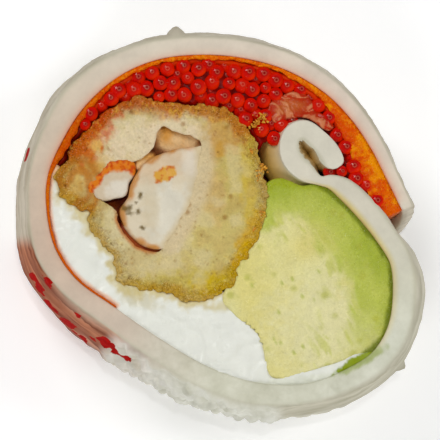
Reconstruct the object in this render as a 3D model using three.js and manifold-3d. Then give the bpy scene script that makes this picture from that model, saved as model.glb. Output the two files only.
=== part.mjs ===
// A thick slice of a rice-less maki roll, standing on one cut face with the other facing up.
// A sheet of white squid flesh winds round the filling as a spiral: its outer end stops at the
// right of the roll, and its inner end curls up into a hook beside the prawn. Inside lie a thin
// orange layer of fine roe paste, a crescent of red roe, a pink shred, a fried prawn in its
// batter, soft white cheese and a wedge of avocado. Each is cut through by both faces.
// Millimetres, +Z up, origin at the middle of the underside.
import * as THREE from "three";
import { mergeVertices } from "three/addons/utils/BufferGeometryUtils.js";
import Module from "manifold-3d";

const wasm = await Module();
wasm.setup();

// ---------------------------------------------------------------- driving dimensions
const SLICE = 24; // height of the slice, cut face to cut face
const ROLL_RADIUS = 29; // mean radius of the roll at the upper cut
const GAP = 0.25; // clearance left between two neighbours
const FOOT = 0.15; // the fillings end this far above the sheet's lower edge
const WALL = [0, 9, 17, SLICE]; // heights of the facets up every wall
const REACH = 3; // how far a cutting copy runs past both cut faces
const LONG_WALL = [-REACH, ...WALL, SLICE + REACH];

// The roll slumps under its own weight: its sides swell below the upper cut. How far they stand
// out at their widest, by angle round the roll in degrees.
const SWELL = [
  [-180, 1.5], [-150, 2.6], [-135, 3.0], [-115, 2.1], [-90, 1.3], [-60, 1.7], [-30, 2.1],
  [-14, 3.0], [-8, 2.6], [-3, 1.5], [4, 1.3], [20, 1.6], [45, 1.9], [90, 2.0], [130, 1.5],
  [150, 1.0], [165, 1.2], [180, 1.5],
];
const SWELL_TURN = 0.78; // share of a half sine wave from the upper cut down to the base
const SWELL_EASE = 0.85;

// The squid sheet's middle line at the upper cut, from the outer end round to the hook's tip:
// x, y and the sheet's thickness there.
const SHEET = [
  [28.5, 2.1, 2.0], [26.3, 6.6, 2.1], [23.9, 11.5, 2.3], [20.8, 16.2, 2.5], [16.7, 20.4, 2.7],
  [11.0, 23.9, 2.9], [4.1, 25.9, 3.0], [-3.0, 26.4, 3.0], [-9.9, 25.6, 3.2], [-16.1, 23.1, 3.7],
  [-21.7, 18.4, 4.1], [-24.9, 13.2, 3.7], [-27.2, 6.9, 3.1], [-27.4, 1.3, 3.1], [-26.1, -5.0, 3.4],
  [-22.6, -10.0, 3.2], [-16.5, -14.6, 3.5], [-10.0, -19.1, 3.5], [-2.4, -23.6, 3.7],
  [5.4, -26.0, 3.6], [13.2, -25.9, 3.2], [19.5, -23.8, 3.4], [24.3, -20.6, 3.4],
  [27.0, -16.2, 3.6], [27.9, -10.7, 3.8], [27.3, -5.8, 3.6], [25.1, -2.0, 3.6],
  [22.0, 1.9, 3.6], [18.9, 4.9, 3.4], [16.9, 5.9, 2.4], [15.1, 6.1, 1.5], [13.2, 7.2, 2.9],
  [11.2, 9.0, 3.2], [10.5, 11.1, 3.0], [11.1, 13.1, 2.9], [12.8, 13.7, 3.0], [14.8, 12.3, 3.1],
  [16.2, 10.7, 3.4], [17.0, 9.3, 3.4], [17.4, 7.9, 3.0],
];
const SHEET_STEPS = 96;
const SHEET_EDGE = 0.45; // rounding of the sheet's cut edges
const TIP_ROUNDING = 1.1; // length over which the hook's tip rounds off

// The sheet's outer end is cut on a slant: towards its lower edge it runs on and tucks inwards.
const TUCK = { length: 0.05, onward: 2.6, inward: 1.3 };

// Small nubs of flesh that stand on the sheet's outer wall: share of the sheet's length, height,
// radius.
const NUBS = [[0.23, 22.4, 1.15], [0.585, 13, 1.0], [0.745, 13, 0.8]];
const WALL_BUMP = { depth: 0.22, pitch: 5 }; // unevenness of the sheet's outer wall

// The orange layer hugs the sheet's inner side: distance along the sheet as a share of its
// length, and the layer's thickness there.
const PASTE = [
  [0, 1.75], [0.022, 2.35], [0.045, 2.2], [0.075, 1.7], [0.105, 1.0], [0.14, 0.6], [0.2, 0.45],
  [0.28, 0.5], [0.32, 0.9], [0.352, 1.2], [0.385, 1.0], [0.41, 0.6], [0.45, 0.5], [0.51, 0.35],
];

// Roe: round eggs in rows along the orange layer, set in a core of eggs and juice.
const EGG_RADII = [1.12, 1.0, 0.88]; // full-grown eggs first, then smaller ones where those don't fit
const EGG_SIDES = 6;
const EGG_RINGS = 3;
const EGG_PITCH = 0.84; // least distance between two eggs' middles, in diameters
const EGG_RISE = 0.12; // how far the highest eggs' tops stand over the cut
const ROE_SINK = 1.25; // the core lies this far under the cut
const ROE_SPAN = [0.006, 0.4]; // shares of the sheet's length
// How far the roe may reach from the orange layer, by share of the sheet's length.
const ROE_DEPTHS = [[0, 5], [0.07, 9], [0.09, 20], [0.19, 20], [0.21, 9], [1, 7.6]];

// Outlines at the upper cut, as x, y points that a smooth closed curve runs through.
const BATTER = [
  [-22.9, 8.7], [-21.9, 10.9], [-20.3, 12.8], [-18.6, 14.5], [-16.8, 16.2], [-14.5, 17.5],
  [-11.5, 18.2], [-9.0, 17.9], [-6.3, 17.3], [-3.0, 17.1], [0.3, 16.9], [2.5, 15.9], [4.1, 14.2],
  [5.1, 12.0], [5.8, 9.6], [6.5, 7.0], [7.1, 4.5], [6.9, 2.2], [6.2, -0.6], [5.2, -3.2],
  [3.9, -5.5], [2.6, -7.3], [1.9, -9.4], [0.2, -10.9], [-1.9, -11.9], [-4.2, -12.3],
  [-6.4, -11.3], [-9.0, -10.5], [-12.0, -10.1], [-14.8, -9.6], [-15.2, -7.6], [-15.9, -5.5],
  [-17.4, -3.5], [-19.2, -1.9], [-19.8, -0.4], [-19.2, 0.9], [-20.7, 1.4], [-22.7, 2.7],
  [-24.2, 4.7], [-24.5, 6.8],
];
const PRAWN_TUNNEL = [
  [-20.1, 5.0], [-19.6, 6.1], [-18.0, 7.2], [-16.9, 8.8], [-14.4, 9.3], [-12.4, 9.0],
  [-10.7, 9.7], [-9.7, 11.4], [-8.9, 13.8], [-8.0, 13.9], [-6.6, 13.1], [-4.6, 12.6],
  [-2.9, 11.9], [-2.3, 10.6], [-2.1, 8.5], [-2.4, 6.2], [-3.3, 3.2], [-4.6, 0.3], [-5.7, -2.0],
  [-6.9, -4.1], [-8.4, -5.0], [-10.3, -5.0], [-12.6, -4.1], [-14.4, -2.6], [-15.7, -0.3],
  [-15.9, 1.2], [-17.4, 2.4], [-19.4, 3.2],
];
const PRAWN = [
  [-12.2, 7.4], [-11.2, 8.6], [-8.9, 9.8], [-6.0, 10.7], [-3.3, 10.9], [-2.8, 9.8], [-2.7, 7.8],
  [-3.1, 5.4], [-4.0, 2.9], [-5.1, 0.4], [-6.2, -1.7], [-7.5, -3.6], [-9.6, -4.2], [-11.8, -3.6],
  [-13.5, -2.0], [-14.6, -0.1], [-14.8, 1.4], [-13.7, 3.4], [-13.3, 5.2],
];
const PRAWN_TAIL = [
  [-19.5, 4.7], [-19.2, 5.7], [-17.8, 6.6], [-16.7, 8.0], [-15.0, 8.7], [-13.2, 8.3],
  [-12.9, 6.9], [-13.9, 5.5], [-14.3, 3.8], [-15.6, 3.4], [-17.4, 3.1], [-18.9, 3.6],
];
const AVOCADO = [
  [7.6, 5.6], [9.0, 6.3], [10.6, 5.9], [12.4, 5.1], [14.3, 5.3], [16.2, 4.6], [18.3, 2.6],
  [20.8, -0.3], [23.0, -3.2], [24.9, -6.2], [25.9, -9.8], [26.0, -13.2], [25.4, -16.0],
  [24.8, -18.6], [23.5, -19.6], [21.3, -19.9], [17.6, -21.0], [13.5, -22.3], [9.4, -23.5],
  [7.8, -23.2], [7.0, -21.2], [6.5, -18.9], [5.3, -16.9], [3.5, -15.2], [1.9, -13.7],
  [1.2, -12.2], [2.3, -9.4], [3.6, -7.0], [5.2, -3.9], [6.6, -0.4], [7.3, 2.8],
];
const CHEESE = [
  [-25.9, 8.4], [-27.0, 5.0], [-27.2, 0.5], [-26.0, -5.0], [-22.5, -10.0], [-16.5, -14.4],
  [-10.0, -19.0], [-2.4, -23.4], [5.4, -25.9], [13.2, -25.7], [18.6, -23.6], [21.3, -21.6],
  [18.0, -19.5], [12.0, -20.0], [6.5, -16.0], [2.0, -11.5], [-4.0, -9.5], [-11.0, -8.0],
  [-15.5, -4.5], [-18.0, 0.0], [-22.0, 4.5], [-24.2, 8.0],
];
const POCKET = [
  [6.6, 4.9], [6.3, 7.2], [5.9, 10.6], [8.6, 12.2], [10.4, 9.4], [10.9, 7.0], [9.3, 5.2],
];
const POCKET_DEPTH = 7; // a hollow is left between batter, hook and avocado
const TUNNEL_DEPTH = 6; // the batter has hollows round the prawn this deep, then closes on it
const SHRED = [
  [7.4, 16.6], [8.0, 17.8], [9.8, 18.9], [11.6, 19.2], [13.4, 18.4], [14.4, 16.9], [16.0, 15.4],
  [17.0, 14.2], [16.4, 13.7], [14.2, 15.0], [12.2, 15.7], [10.2, 15.3], [8.4, 14.9],
];

// ---------------------------------------------------------------- small helpers

// Smooth seeded noise between -1 and 1, with lumps about one unit of x, y or z across.
function noise(x, y, z, seed = 0) {
  const hash = (i, j, k) => {
    const s = Math.sin(i * 127.1 + j * 311.7 + k * 74.7 + seed * 53.3) * 43758.5453;
    return 2 * (s - Math.floor(s)) - 1;
  };
  const [i, j, k] = [x, y, z].map(Math.floor);
  const [u, v, w] = [x - i, y - j, z - k].map((f) => f * f * (3 - 2 * f));
  const mix = THREE.MathUtils.lerp;
  const row = (dj, dk) => mix(hash(i, j + dj, k + dk), hash(i + 1, j + dj, k + dk), u);
  return mix(mix(row(0, 0), row(1, 0), v), mix(row(0, 1), row(1, 1), v), w);
}

// Value of a list of [place, value] pairs at a place between them.
function between(pairs, place) {
  const next = pairs.findIndex(([at]) => at >= place);
  if (next < 1) return pairs.at(next)[1];
  const [[at0, value0], [at1, value1]] = [pairs[next - 1], pairs[next]];
  return THREE.MathUtils.mapLinear(place, at0, at1, value0, value1);
}

// Moves a point of the straight-sided roll to where the slumped roll has it.
function slump(p) {
  const depth = THREE.MathUtils.clamp(1 - p.z / SLICE, 0, 1);
  const swell = between(SWELL, THREE.MathUtils.radToDeg(Math.atan2(p.y, p.x)));
  const share = Math.sin(Math.PI * SWELL_TURN * depth ** SWELL_EASE);
  const k = 1 + (swell * share) / ROLL_RADIUS;
  return p.set(p.x * k, p.y * k, p.z);
}

// A closed geometry as a solid, turned the right way out.
function solid(geometry) {
  const g = geometry.clone();
  for (const name of Object.keys(g.attributes)) if (name !== "position") g.deleteAttribute(name);
  const merged = mergeVertices(g, 1e-4);
  const triVerts = new Uint32Array(merged.index.array);
  const vertProperties = merged.attributes.position.array;
  const made = new wasm.Manifold(new wasm.Mesh({ numProp: 3, vertProperties, triVerts }));
  if (made.volume() > 0) return made;
  for (let i = 0; i < triVerts.length; i += 3) triVerts.subarray(i, i + 3).reverse();
  return new wasm.Manifold(new wasm.Mesh({ numProp: 3, vertProperties, triVerts }));
}

// Applies slump() to every vertex of a geometry.
function slumped(geometry) {
  const position = geometry.attributes.position;
  const p = new THREE.Vector3();
  for (let i = 0; i < position.count; i++) {
    slump(p.fromBufferAttribute(position, i));
    position.setXYZ(i, p.x, p.y, p.z);
  }
  return geometry;
}

const SMOOTH = { depth: 0, pitch: 1 };

// A smooth closed outline through the points, anticlockwise, set out by `grow` along its
// normal, with crags of that depth and pitch.
function outline(points, count, grow = 0, crag = SMOOTH) {
  const knots = points.map(([x, y]) => new THREE.Vector3(x, y, 0));
  const curve = new THREE.CatmullRomCurve3(knots, true, "centripetal");
  const ring = curve.getSpacedPoints(count).slice(0, count);
  const flat = ring.map((p) => new THREE.Vector2(p.x, p.y));
  if (THREE.ShapeUtils.isClockWise(flat)) flat.reverse();
  return flat.map((p, i) => {
    const along = flat[(i + 1) % count].clone().sub(flat[(i + count - 1) % count]).normalize();
    const out = grow + crag.depth * noise(p.x / crag.pitch, p.y / crag.pitch, 0, 7);
    return new THREE.Vector2(p.x + along.y * out, p.y - along.x * out);
  });
}

// A slumped block that stands on an outline, with an optional hole, faceted at the heights.
function block(ring, heights, hole = null) {
  const shape = new THREE.Shape(ring);
  if (hole) shape.holes.push(new THREE.Path(hole));
  const steps = heights.length - 1;
  const g = new THREE.ExtrudeGeometry(shape, { depth: steps, steps, bevelEnabled: false });
  const position = g.attributes.position;
  for (let i = 0; i < position.count; i++) position.setZ(i, heights[Math.round(position.getZ(i))]);
  return solid(slumped(g));
}

// A cutting copy of an outline: its block, grown by the clearance and run past both cut faces.
const cutter = (points, count, crag) => block(outline(points, count, GAP, crag), LONG_WALL);

// Everything under an uneven ceiling: a box over the roll whose top follows height(x, y).
function under(height, centre, width, cell, floor) {
  const n = Math.ceil(width / cell);
  const g = new THREE.BoxGeometry(width, width, SLICE, n, n, 1).translate(centre[0], centre[1], SLICE / 2);
  const position = g.attributes.position;
  for (let i = 0; i < position.count; i++) {
    const [x, y] = [position.getX(i), position.getY(i)];
    position.setZ(i, position.getZ(i) > SLICE / 2 ? height(x, y) : floor);
  }
  return solid(g);
}

// The biggest single body of a solid: cutting can leave loose scraps, which are dropped.
function biggest(made) {
  return made.decompose().sort((a, b) => b.volume() - a.volume())[0];
}

// Closed surface through rings of equal length. Each ring runs up one wall and down the other,
// so the two ends are closed by strips from wall to wall.
function loft(rings) {
  const n = rings[0].length;
  const index = [];
  for (let i = 0; i + 1 < rings.length; i++) {
    for (let j = 0; j < n; j++) {
      const [a, b] = [i * n + j, i * n + ((j + 1) % n)];
      index.push(a, b, a + n, b, b + n, a + n);
    }
  }
  const last = (rings.length - 1) * n;
  for (let i = 0, j = n - 1; i < j; i++, j--) {
    index.push(i + 1, i, j, last + i, last + i + 1, last + j);
    if (i + 1 < j - 1) index.push(j - 1, i + 1, j, last + i + 1, last + j - 1, last + j);
  }
  return solid(new THREE.BufferGeometry().setFromPoints(rings.flat()).setIndex(index));
}

// ---------------------------------------------------------------- the squid sheet

const sheetLine = new THREE.CatmullRomCurve3(
  SHEET.map(([x, y, t]) => new THREE.Vector3(x, y, t)), false, "centripetal");
const SHEET_LENGTH = sheetLine.getLength();

// Middle point, direction, inward normal and half thickness of the sheet, at a share of its
// length.
function sheetAt(share) {
  const p = sheetLine.getPointAt(share);
  const t = sheetLine.getTangentAt(share);
  const onward = new THREE.Vector2(t.x, t.y).normalize();
  const inward = new THREE.Vector2(-onward.y, onward.x);
  const toTip = (1 - share) * SHEET_LENGTH;
  const rounding = toTip < TIP_ROUNDING ? Math.sqrt(1 - (1 - toTip / TIP_ROUNDING) ** 2) : 1;
  const half = (p.z / 2) * Math.max(rounding, 0.25);
  return { middle: new THREE.Vector2(p.x, p.y), onward, inward, half };
}

// A band that follows the sheet: at each step its two faces' distances from the middle line,
// counted inwards. It is faceted at the heights, its top is lowered by lower(share), the edges
// of the upper cut are rounded by `edge`, both ends run on by `reach`, its outer wall is uneven
// by `rough`, and `tuck` says which of its walls follow the sheet's tucked outer end.
function band(shares, faces, heights, options = {}) {
  const { lower = () => 0, edge = 0, reach = 0, rough = SMOOTH, tuck = {} } = options;
  const rings = shares.map((share, i) => {
    const { middle, onward, inward } = sheetAt(share);
    if (i === 0) middle.addScaledVector(onward, -reach);
    if (i === shares.length - 1) middle.addScaledVector(onward, reach);
    const [outer, inner] = faces(share);
    const top = heights.at(-1) - lower(share);
    const round = Math.min(edge, 0.3 * (inner - outer));
    const at = (distance, z, tucked) => {
      const tucking = Math.max(0, 1 - share / TUCK.length) * THREE.MathUtils.clamp(1 - z / SLICE, 0, 1);
      const p = middle.clone();
      p.addScaledVector(inward, distance + (tucked ? TUCK.inward * tucking : 0));
      p.addScaledVector(onward, tuck.end ? -TUCK.onward * tucking : 0);
      return slump(new THREE.Vector3(p.x, p.y, z));
    };
    const bump = (z) => rough.depth * noise((share * 170) / rough.pitch, 0, z / rough.pitch, 31);
    const wall = [...heights.slice(0, -1), top - round];
    return [
      ...wall.map((z) => at(outer + bump(z), z, tuck.outer)),
      at(outer + round, top, tuck.outer),
      at((outer + inner) / 2, top + round / 4, tuck.outer),
      at(inner - round, top, tuck.inner),
      ...wall.reverse().map((z) => at(inner, z, tuck.inner)),
    ];
  });
  return loft(rings);
}

// Steps along the sheet between two shares of its length.
const stepsAlong = (start, end, count) =>
  Array.from({ length: count + 1 }, (_, i) => start + ((end - start) * i) / count);

const sheetFaces = (grow) => (share) => {
  const { half } = sheetAt(share);
  return [-half - grow, half + grow];
};

const sheetSteps = stepsAlong(0, 1, SHEET_STEPS);

const SHEET_TUCK = { outer: true, inner: true, end: true };

function squidSheet() {
  const sheet = band(sheetSteps, sheetFaces(0), WALL, { edge: SHEET_EDGE, rough: WALL_BUMP, tuck: SHEET_TUCK });
  const nubs = NUBS.map(([share, z, radius]) => {
    const { middle, inward, half } = sheetAt(share);
    const foot = middle.addScaledVector(inward, -half);
    const { x, y } = slump(new THREE.Vector3(foot.x, foot.y, z));
    return solid(new THREE.SphereGeometry(radius, 8, 6).translate(x, y, z));
  });
  return nubs.reduce((whole, nub) => whole.add(nub), sheet);
}

const sheetCutter = band(sheetSteps, sheetFaces(GAP), LONG_WALL, {
  reach: GAP,
  rough: WALL_BUMP,
  tuck: SHEET_TUCK,
});

// ---------------------------------------------------------------- the orange layer and the roe

const pasteFaces = (grow) => (share) => {
  const { half } = sheetAt(share);
  const start = half + GAP;
  return [start - grow, start + between(PASTE, share) + grow];
};

const pasteSteps = sheetSteps.filter((share) => share >= PASTE[0][0] && share <= PASTE.at(-1)[0]);

const PASTE_TUCK = { outer: true };

function orangePaste() {
  const lower = (share) => 0.35 - 0.15 * noise(share * 300, 0, 0, 3);
  const wall = [FOOT, ...WALL.slice(1)];
  return band(pasteSteps, pasteFaces(0), wall, { lower, edge: 0.1, tuck: PASTE_TUCK });
}

const pasteCutter = band(pasteSteps, pasteFaces(GAP), LONG_WALL, { reach: 2 * GAP, tuck: PASTE_TUCK });

// A low-sided egg.
const egg = (radius, x, y, z) =>
  solid(new THREE.SphereGeometry(radius, EGG_SIDES, EGG_RINGS).rotateX(Math.PI / 2).translate(x, y, z));

// Outline at the upper cut of a band along the sheet.
function bandOutline(shares, faces) {
  const side = (k) => shares.map((share) => {
    const { middle, inward } = sheetAt(share);
    return middle.addScaledVector(inward, faces(share)[k]);
  });
  return [...side(0), ...side(1).reverse()];
}

// Distance from a point to the nearest of some outlines, below zero inside one of them.
function clearance(p, outlines) {
  let nearest = Infinity;
  for (const ring of outlines) {
    let inside = false;
    let near = Infinity;
    ring.forEach((a, i) => {
      const b = ring[(i + 1) % ring.length];
      const along = b.clone().sub(a);
      const t = THREE.MathUtils.clamp(p.clone().sub(a).dot(along) / along.lengthSq(), 0, 1);
      near = Math.min(near, p.distanceTo(along.multiplyScalar(t).add(a)));
      const crosses = a.y > p.y !== b.y > p.y && p.x < ((b.x - a.x) * (p.y - a.y)) / (b.y - a.y) + a.x;
      if (crosses) inside = !inside;
    });
    nearest = Math.min(nearest, inside ? -near : near);
  }
  return nearest;
}

// The crescent of roe: a core cut to its neighbours, with whole eggs on both cut faces. The
// eggs are laid one by one from the orange layer inwards, wherever one finds room.
function roe(neighbours, outlines) {
  const start = (share) => pasteFaces(GAP)(share)[1];
  const faces = (share) => [start(share), start(share) + between(ROE_DEPTHS, share)];
  const whole = band(stepsAlong(...ROE_SPAN, 46), faces, [ROE_SINK, ...WALL.slice(1, -1), SLICE - ROE_SINK]);
  const pocket = outline(POCKET, 14);
  const hollow = block(pocket, [SLICE - POCKET_DEPTH, SLICE + REACH]);
  const core = biggest([...neighbours, hollow].reduce((left, other) => left.subtract(other), whole));
  const fits = (e) => neighbours.every((other) => other.intersect(e).volume() < 1e-4);
  const eggs = [];
  const laid = [];
  const lay = (radius, p) => {
    if (laid.some((other) => other.p.distanceTo(p) < EGG_PITCH * (radius + other.radius))) return;
    if (clearance(p, outlines) < radius + GAP || clearance(p, [pocket]) < 0) return;
    const sunk = 0.35 * Math.abs(noise(p.x / 2, p.y / 2, 0, 13));
    const high = egg(radius, p.x, p.y, SLICE - radius + EGG_RISE - sunk);
    if (!fits(high) || core.intersect(high).volume() < 0.2) return;
    laid.push({ radius, p });
    const low = slump(new THREE.Vector3(p.x, p.y, 0));
    eggs.push(high, egg(radius, low.x, low.y, radius + FOOT));
  };
  for (const radius of EGG_RADII) {
    for (let depth = radius + 0.06; depth < 9; depth += 0.35) {
      for (let share = ROE_SPAN[0]; share < ROE_SPAN[1]; share += 0.0015) {
        const { middle, inward } = sheetAt(share);
        const p = middle.addScaledVector(inward, start(share) + depth);
        p.x += 0.2 * noise(p.x / 2, p.y / 2, 0, 11);
        p.y += 0.2 * noise(p.x / 2, p.y / 2, 0, 12);
        lay(radius, p);
      }
    }
  }
  return wasm.Manifold.union([core, ...eggs.filter(fits)]);
}

// ---------------------------------------------------------------- the fillings

const BATTER_CRAG = { depth: 0.3, pitch: 1.1 };
const CHEESE_CRAG = { depth: 0.12, pitch: 2.5 };

// A filling: a block on its outline, under its own uneven upper cut, cut back from neighbours.
function filling({ points, count, crag = SMOOTH, hole = null, relief, cell, cuts }) {
  const ring = outline(points, count, 0, crag);
  const box = new THREE.Box2().setFromPoints(ring);
  const middle = box.getCenter(new THREE.Vector2()).toArray();
  const width = 1.25 * Math.max(...box.getSize(new THREE.Vector2()).toArray());
  const whole = block(ring, LONG_WALL, hole);
  const below = under(relief, middle, width, cell, FOOT);
  return biggest(cuts.reduce((left, other) => left.subtract(other), whole.intersect(below)));
}

const batterCutter = cutter(BATTER, 78, BATTER_CRAG);
const avocadoCutter = cutter(AVOCADO, 44, SMOOTH);
const shredCutter = cutter(SHRED, 26, SMOOTH);

const prawnCutter = cutter(PRAWN, 36, SMOOTH);
const tailCutter = cutter(PRAWN_TAIL, 24, SMOOTH);
const batterRing = filling({
  points: BATTER,
  count: 78,
  crag: BATTER_CRAG,
  hole: outline(PRAWN_TUNNEL, 48),
  relief: (x, y) => SLICE - 0.35 + 0.35 * noise(x / 1.6, y / 1.6, 0, 21),
  cell: 3,
  cuts: [sheetCutter, pasteCutter],
});
const batterInside = block(outline(PRAWN_TUNNEL, 48, 0.3), [TUNNEL_DEPTH, 9, 17, SLICE - TUNNEL_DEPTH])
  .subtract(prawnCutter)
  .subtract(tailCutter);
const batter = biggest(batterRing.add(batterInside));
const prawn = filling({
  points: PRAWN,
  count: 36,
  relief: (x, y) => SLICE + 0.3 - 0.006 * ((x + 8) ** 2 + (y - 3) ** 2),
  cell: 3.4,
  cuts: [],
});
const prawnTail = filling({
  points: PRAWN_TAIL,
  count: 24,
  relief: (x, y) => SLICE - 0.1 + 0.2 * noise(x / 2, y / 2, 0, 5),
  cell: 2.4,
  cuts: [prawnCutter],
});
const avocado = filling({
  points: AVOCADO,
  count: 44,
  relief: (x, y) => SLICE - 0.5 + 0.02 * (15 - x) + 0.12 * noise(x / 4, y / 4, 0, 9),
  cell: 5,
  cuts: [sheetCutter, batterCutter],
});
const cheese = filling({
  points: CHEESE,
  count: 66,
  crag: CHEESE_CRAG,
  relief: (x, y) => SLICE - 0.3 + 0.35 * noise(x / 3.4, y / 3.4, 0, 15),
  cell: 4.4,
  cuts: [sheetCutter, pasteCutter, batterCutter, avocadoCutter],
});
const shred = filling({
  points: SHRED,
  count: 26,
  relief: (x, y) => SLICE - 0.7 + 0.3 * noise(x / 1.2, y / 1.2, 0, 17),
  cell: 2,
  cuts: [sheetCutter, pasteCutter],
});
const roeHeap = roe(
  [sheetCutter, pasteCutter, batterCutter, avocadoCutter, shredCutter],
  [
    bandOutline(sheetSteps, sheetFaces(0)),
    bandOutline(pasteSteps, pasteFaces(0)),
    outline(BATTER, 78, 0, BATTER_CRAG),
    outline(AVOCADO, 44),
    outline(SHRED, 26),
  ],
);

// ---------------------------------------------------------------- the group

// A solid as a named mesh with its own material.
function piece(name, made, colour, roughness) {
  const { numProp, numVert, vertProperties, triVerts } = made.getMesh();
  const points = Array.from({ length: numVert }, (_, i) =>
    new THREE.Vector3().fromArray(vertProperties, i * numProp));
  const g = new THREE.BufferGeometry().setFromPoints(points).setIndex(new THREE.BufferAttribute(triVerts, 1));
  g.computeVertexNormals();
  const mesh = new THREE.Mesh(g, new THREE.MeshStandardMaterial({ color: colour, roughness, metalness: 0 }));
  mesh.name = name;
  return mesh;
}

const roll = new THREE.Group();
roll.name = "maki_roll";
roll.add(
  piece("squid_sheet", squidSheet(), 0xdcd6c8, 0.35),
  piece("orange_paste", orangePaste(), 0xe8740c, 0.4),
  piece("roe", roeHeap, 0xd81f08, 0.15),
  piece("pink_shred", shred, 0xb9614a, 0.3),
  piece("batter", batter, 0xcbb078, 0.6),
  piece("prawn", prawn, 0xdccdb6, 0.3),
  piece("prawn_tail", prawnTail, 0xe0d3c2, 0.3),
  piece("cheese", cheese, 0xecece4, 0.4),
  piece("avocado", avocado, 0xd3d486, 0.4),
);

// The origin goes to the middle of the underside.
const size = new THREE.Box3().setFromObject(roll);
const centre = size.getCenter(new THREE.Vector3());
roll.position.set(-centre.x, -centre.y, 0);

export default roll;
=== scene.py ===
"""Looks of a thick slice of a rice-less maki roll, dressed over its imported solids.

The roll is laid out in millimetres on a plan of its upper cut, with z up from the underside, and
every piece is moved into the frame as its mesh is made. A white squid sheet winds round a thin
orange layer, red roe, a pink shred, a fried prawn in batter, soft cheese and avocado.
"""

from __future__ import annotations

import logging
import math
from dataclasses import dataclass
from enum import Enum

import bmesh
import bpy
import numpy as np
from mathutils import Matrix, Vector
from mathutils.geometry import delaunay_2d_cdt

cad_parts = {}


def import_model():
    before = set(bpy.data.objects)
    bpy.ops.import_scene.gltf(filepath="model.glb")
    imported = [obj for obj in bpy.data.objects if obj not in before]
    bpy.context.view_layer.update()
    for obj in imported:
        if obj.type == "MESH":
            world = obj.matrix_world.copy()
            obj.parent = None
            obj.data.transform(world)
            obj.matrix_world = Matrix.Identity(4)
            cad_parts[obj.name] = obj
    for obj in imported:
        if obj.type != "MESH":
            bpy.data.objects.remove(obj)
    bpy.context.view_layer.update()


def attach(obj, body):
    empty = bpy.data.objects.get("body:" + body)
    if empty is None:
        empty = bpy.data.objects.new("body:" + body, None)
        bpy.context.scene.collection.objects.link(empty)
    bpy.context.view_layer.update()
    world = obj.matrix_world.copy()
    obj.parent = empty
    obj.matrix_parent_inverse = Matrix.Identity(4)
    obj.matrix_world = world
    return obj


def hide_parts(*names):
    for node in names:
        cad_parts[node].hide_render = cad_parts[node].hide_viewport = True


LOG = logging.getLogger("maki_roll")

MM = 0.001
SLICE = 24.0  # height of the slice, cut face to cut face
ROLL_RADIUS = 29.0  # mean radius at the upper cut
FOOT = 0.15  # the fillings end this far above the sheet's lower edge
PLAN_SHIFT = np.array([-1.161, -0.186])  # the plan's zero, seen from the frame's

PHOTO_SIDE = 440  # pixels
PHOTO_PITCH = 0.15  # millimetres a pixel at the upper cut
EYE_DISTANCE = 400.0
EYE_TILT = 7.0  # degrees off straight down
EYE_HEADING = 225.0  # towards this direction of the plan

# How far the slumped sides stand out below the upper cut, by angle round the roll.
SWELL = np.array([
    [-180, 1.5], [-150, 2.6], [-135, 3.0], [-115, 2.1], [-90, 1.3], [-60, 1.7], [-30, 2.1],
    [-14, 3.0], [-8, 2.6], [-3, 1.5], [4, 1.3], [20, 1.6], [45, 1.9], [90, 2.0], [130, 1.5],
    [150, 1.0], [165, 1.2], [180, 1.5],
])
SWELL_TURN = 0.78
SWELL_EASE = 0.85
EDGE_SWEEP = 0.96  # a rounded edge stops just short of upright

Array = np.ndarray
Object = bpy.types.Object
Material = bpy.types.Material
Socket = bpy.types.NodeSocket
Faces = list[tuple[int, ...]]
Shade = tuple[int, int, int]  # red, green and blue, each from 0 to 255
Pixels = tuple[tuple[float, float], ...]  # places in the photo
Spots = tuple[tuple[float, float, float], ...]

BATCH = 4000  # points worked on at a time
TINY = 1e-12
# Large unrelated numbers that scatter the noise.
SCATTER = (127.1, 311.7, 74.7)
SCATTER_SEED = 53.3
SCATTER_GAIN = 43758.5453


# ---------------------------------------------------------------- noise and curves


def lumps(p: Array, seed: float = 0) -> Array:
    """Smooth noise between -1 and 1, with lumps about one unit across.

    Args:
        p: places, as rows of x, y, z.
        seed: picks one of many patterns.

    Returns:
        The value at each place.
    """
    cell = np.floor(p)
    f = p - cell
    f = f * f * (3 - 2 * f)
    total = np.zeros(len(p))
    across, onward, up = SCATTER
    for corner in np.ndindex(2, 2, 2):
        i, j, k = (cell + corner).T
        s = np.sin(i * across + j * onward + k * up + seed * SCATTER_SEED) * SCATTER_GAIN
        weight = np.prod(np.where(np.array(corner) == 1, f, 1 - f), axis=1)
        total += weight * (2 * (s - np.floor(s)) - 1)
    return total


def layered(p: Array, seed: float = 0, layers: int = 3, gain: float = 0.5) -> Array:
    """Several layers of noise, each finer and weaker than the last.

    Args:
        p: places, as rows of x, y, z.
        seed: picks the pattern.
        layers: how many layers are added.
        gain: strength of each layer against the one before.

    Returns:
        The value at each place, about -1 to 1.
    """
    turn = np.array([[0.80, 0.60, 0.0], [-0.52, 0.69, 0.50], [0.30, -0.40, 0.87]])
    total = np.zeros(len(p))
    q = p
    for layer in range(layers):
        total += gain**layer * lumps(q, seed + 7.3 * layer)
        q = (q @ turn) * 2.03 + 11.7
    return total


def cells(p: Array, seed: float = 0) -> tuple[Array, Array]:
    """Distance to the nearest of some scattered points, one in each unit cube.

    Args:
        p: places, as rows of x, y, z.
        seed: picks the scatter.

    Returns:
        The distance, and a number from 0 to 1 that belongs to the nearest point.
    """
    cell = np.floor(p)
    best = np.full(len(p), 9.0)
    mark = np.zeros(len(p))
    for offset in np.ndindex(3, 3, 3):
        c = cell + offset - 1
        s = np.sin(c @ np.array(SCATTER) + seed * SCATTER_SEED) * SCATTER_GAIN
        r = s - np.floor(s)
        spot = c + np.stack([r, (r * 57.31) % 1, (r * 113.7) % 1], axis=1)
        d = np.linalg.norm(p - spot, axis=1)
        nearer = d < best
        best[nearer] = d[nearer]
        mark[nearer] = ((r * 311.9) % 1)[nearer]
    return best, mark


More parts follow.
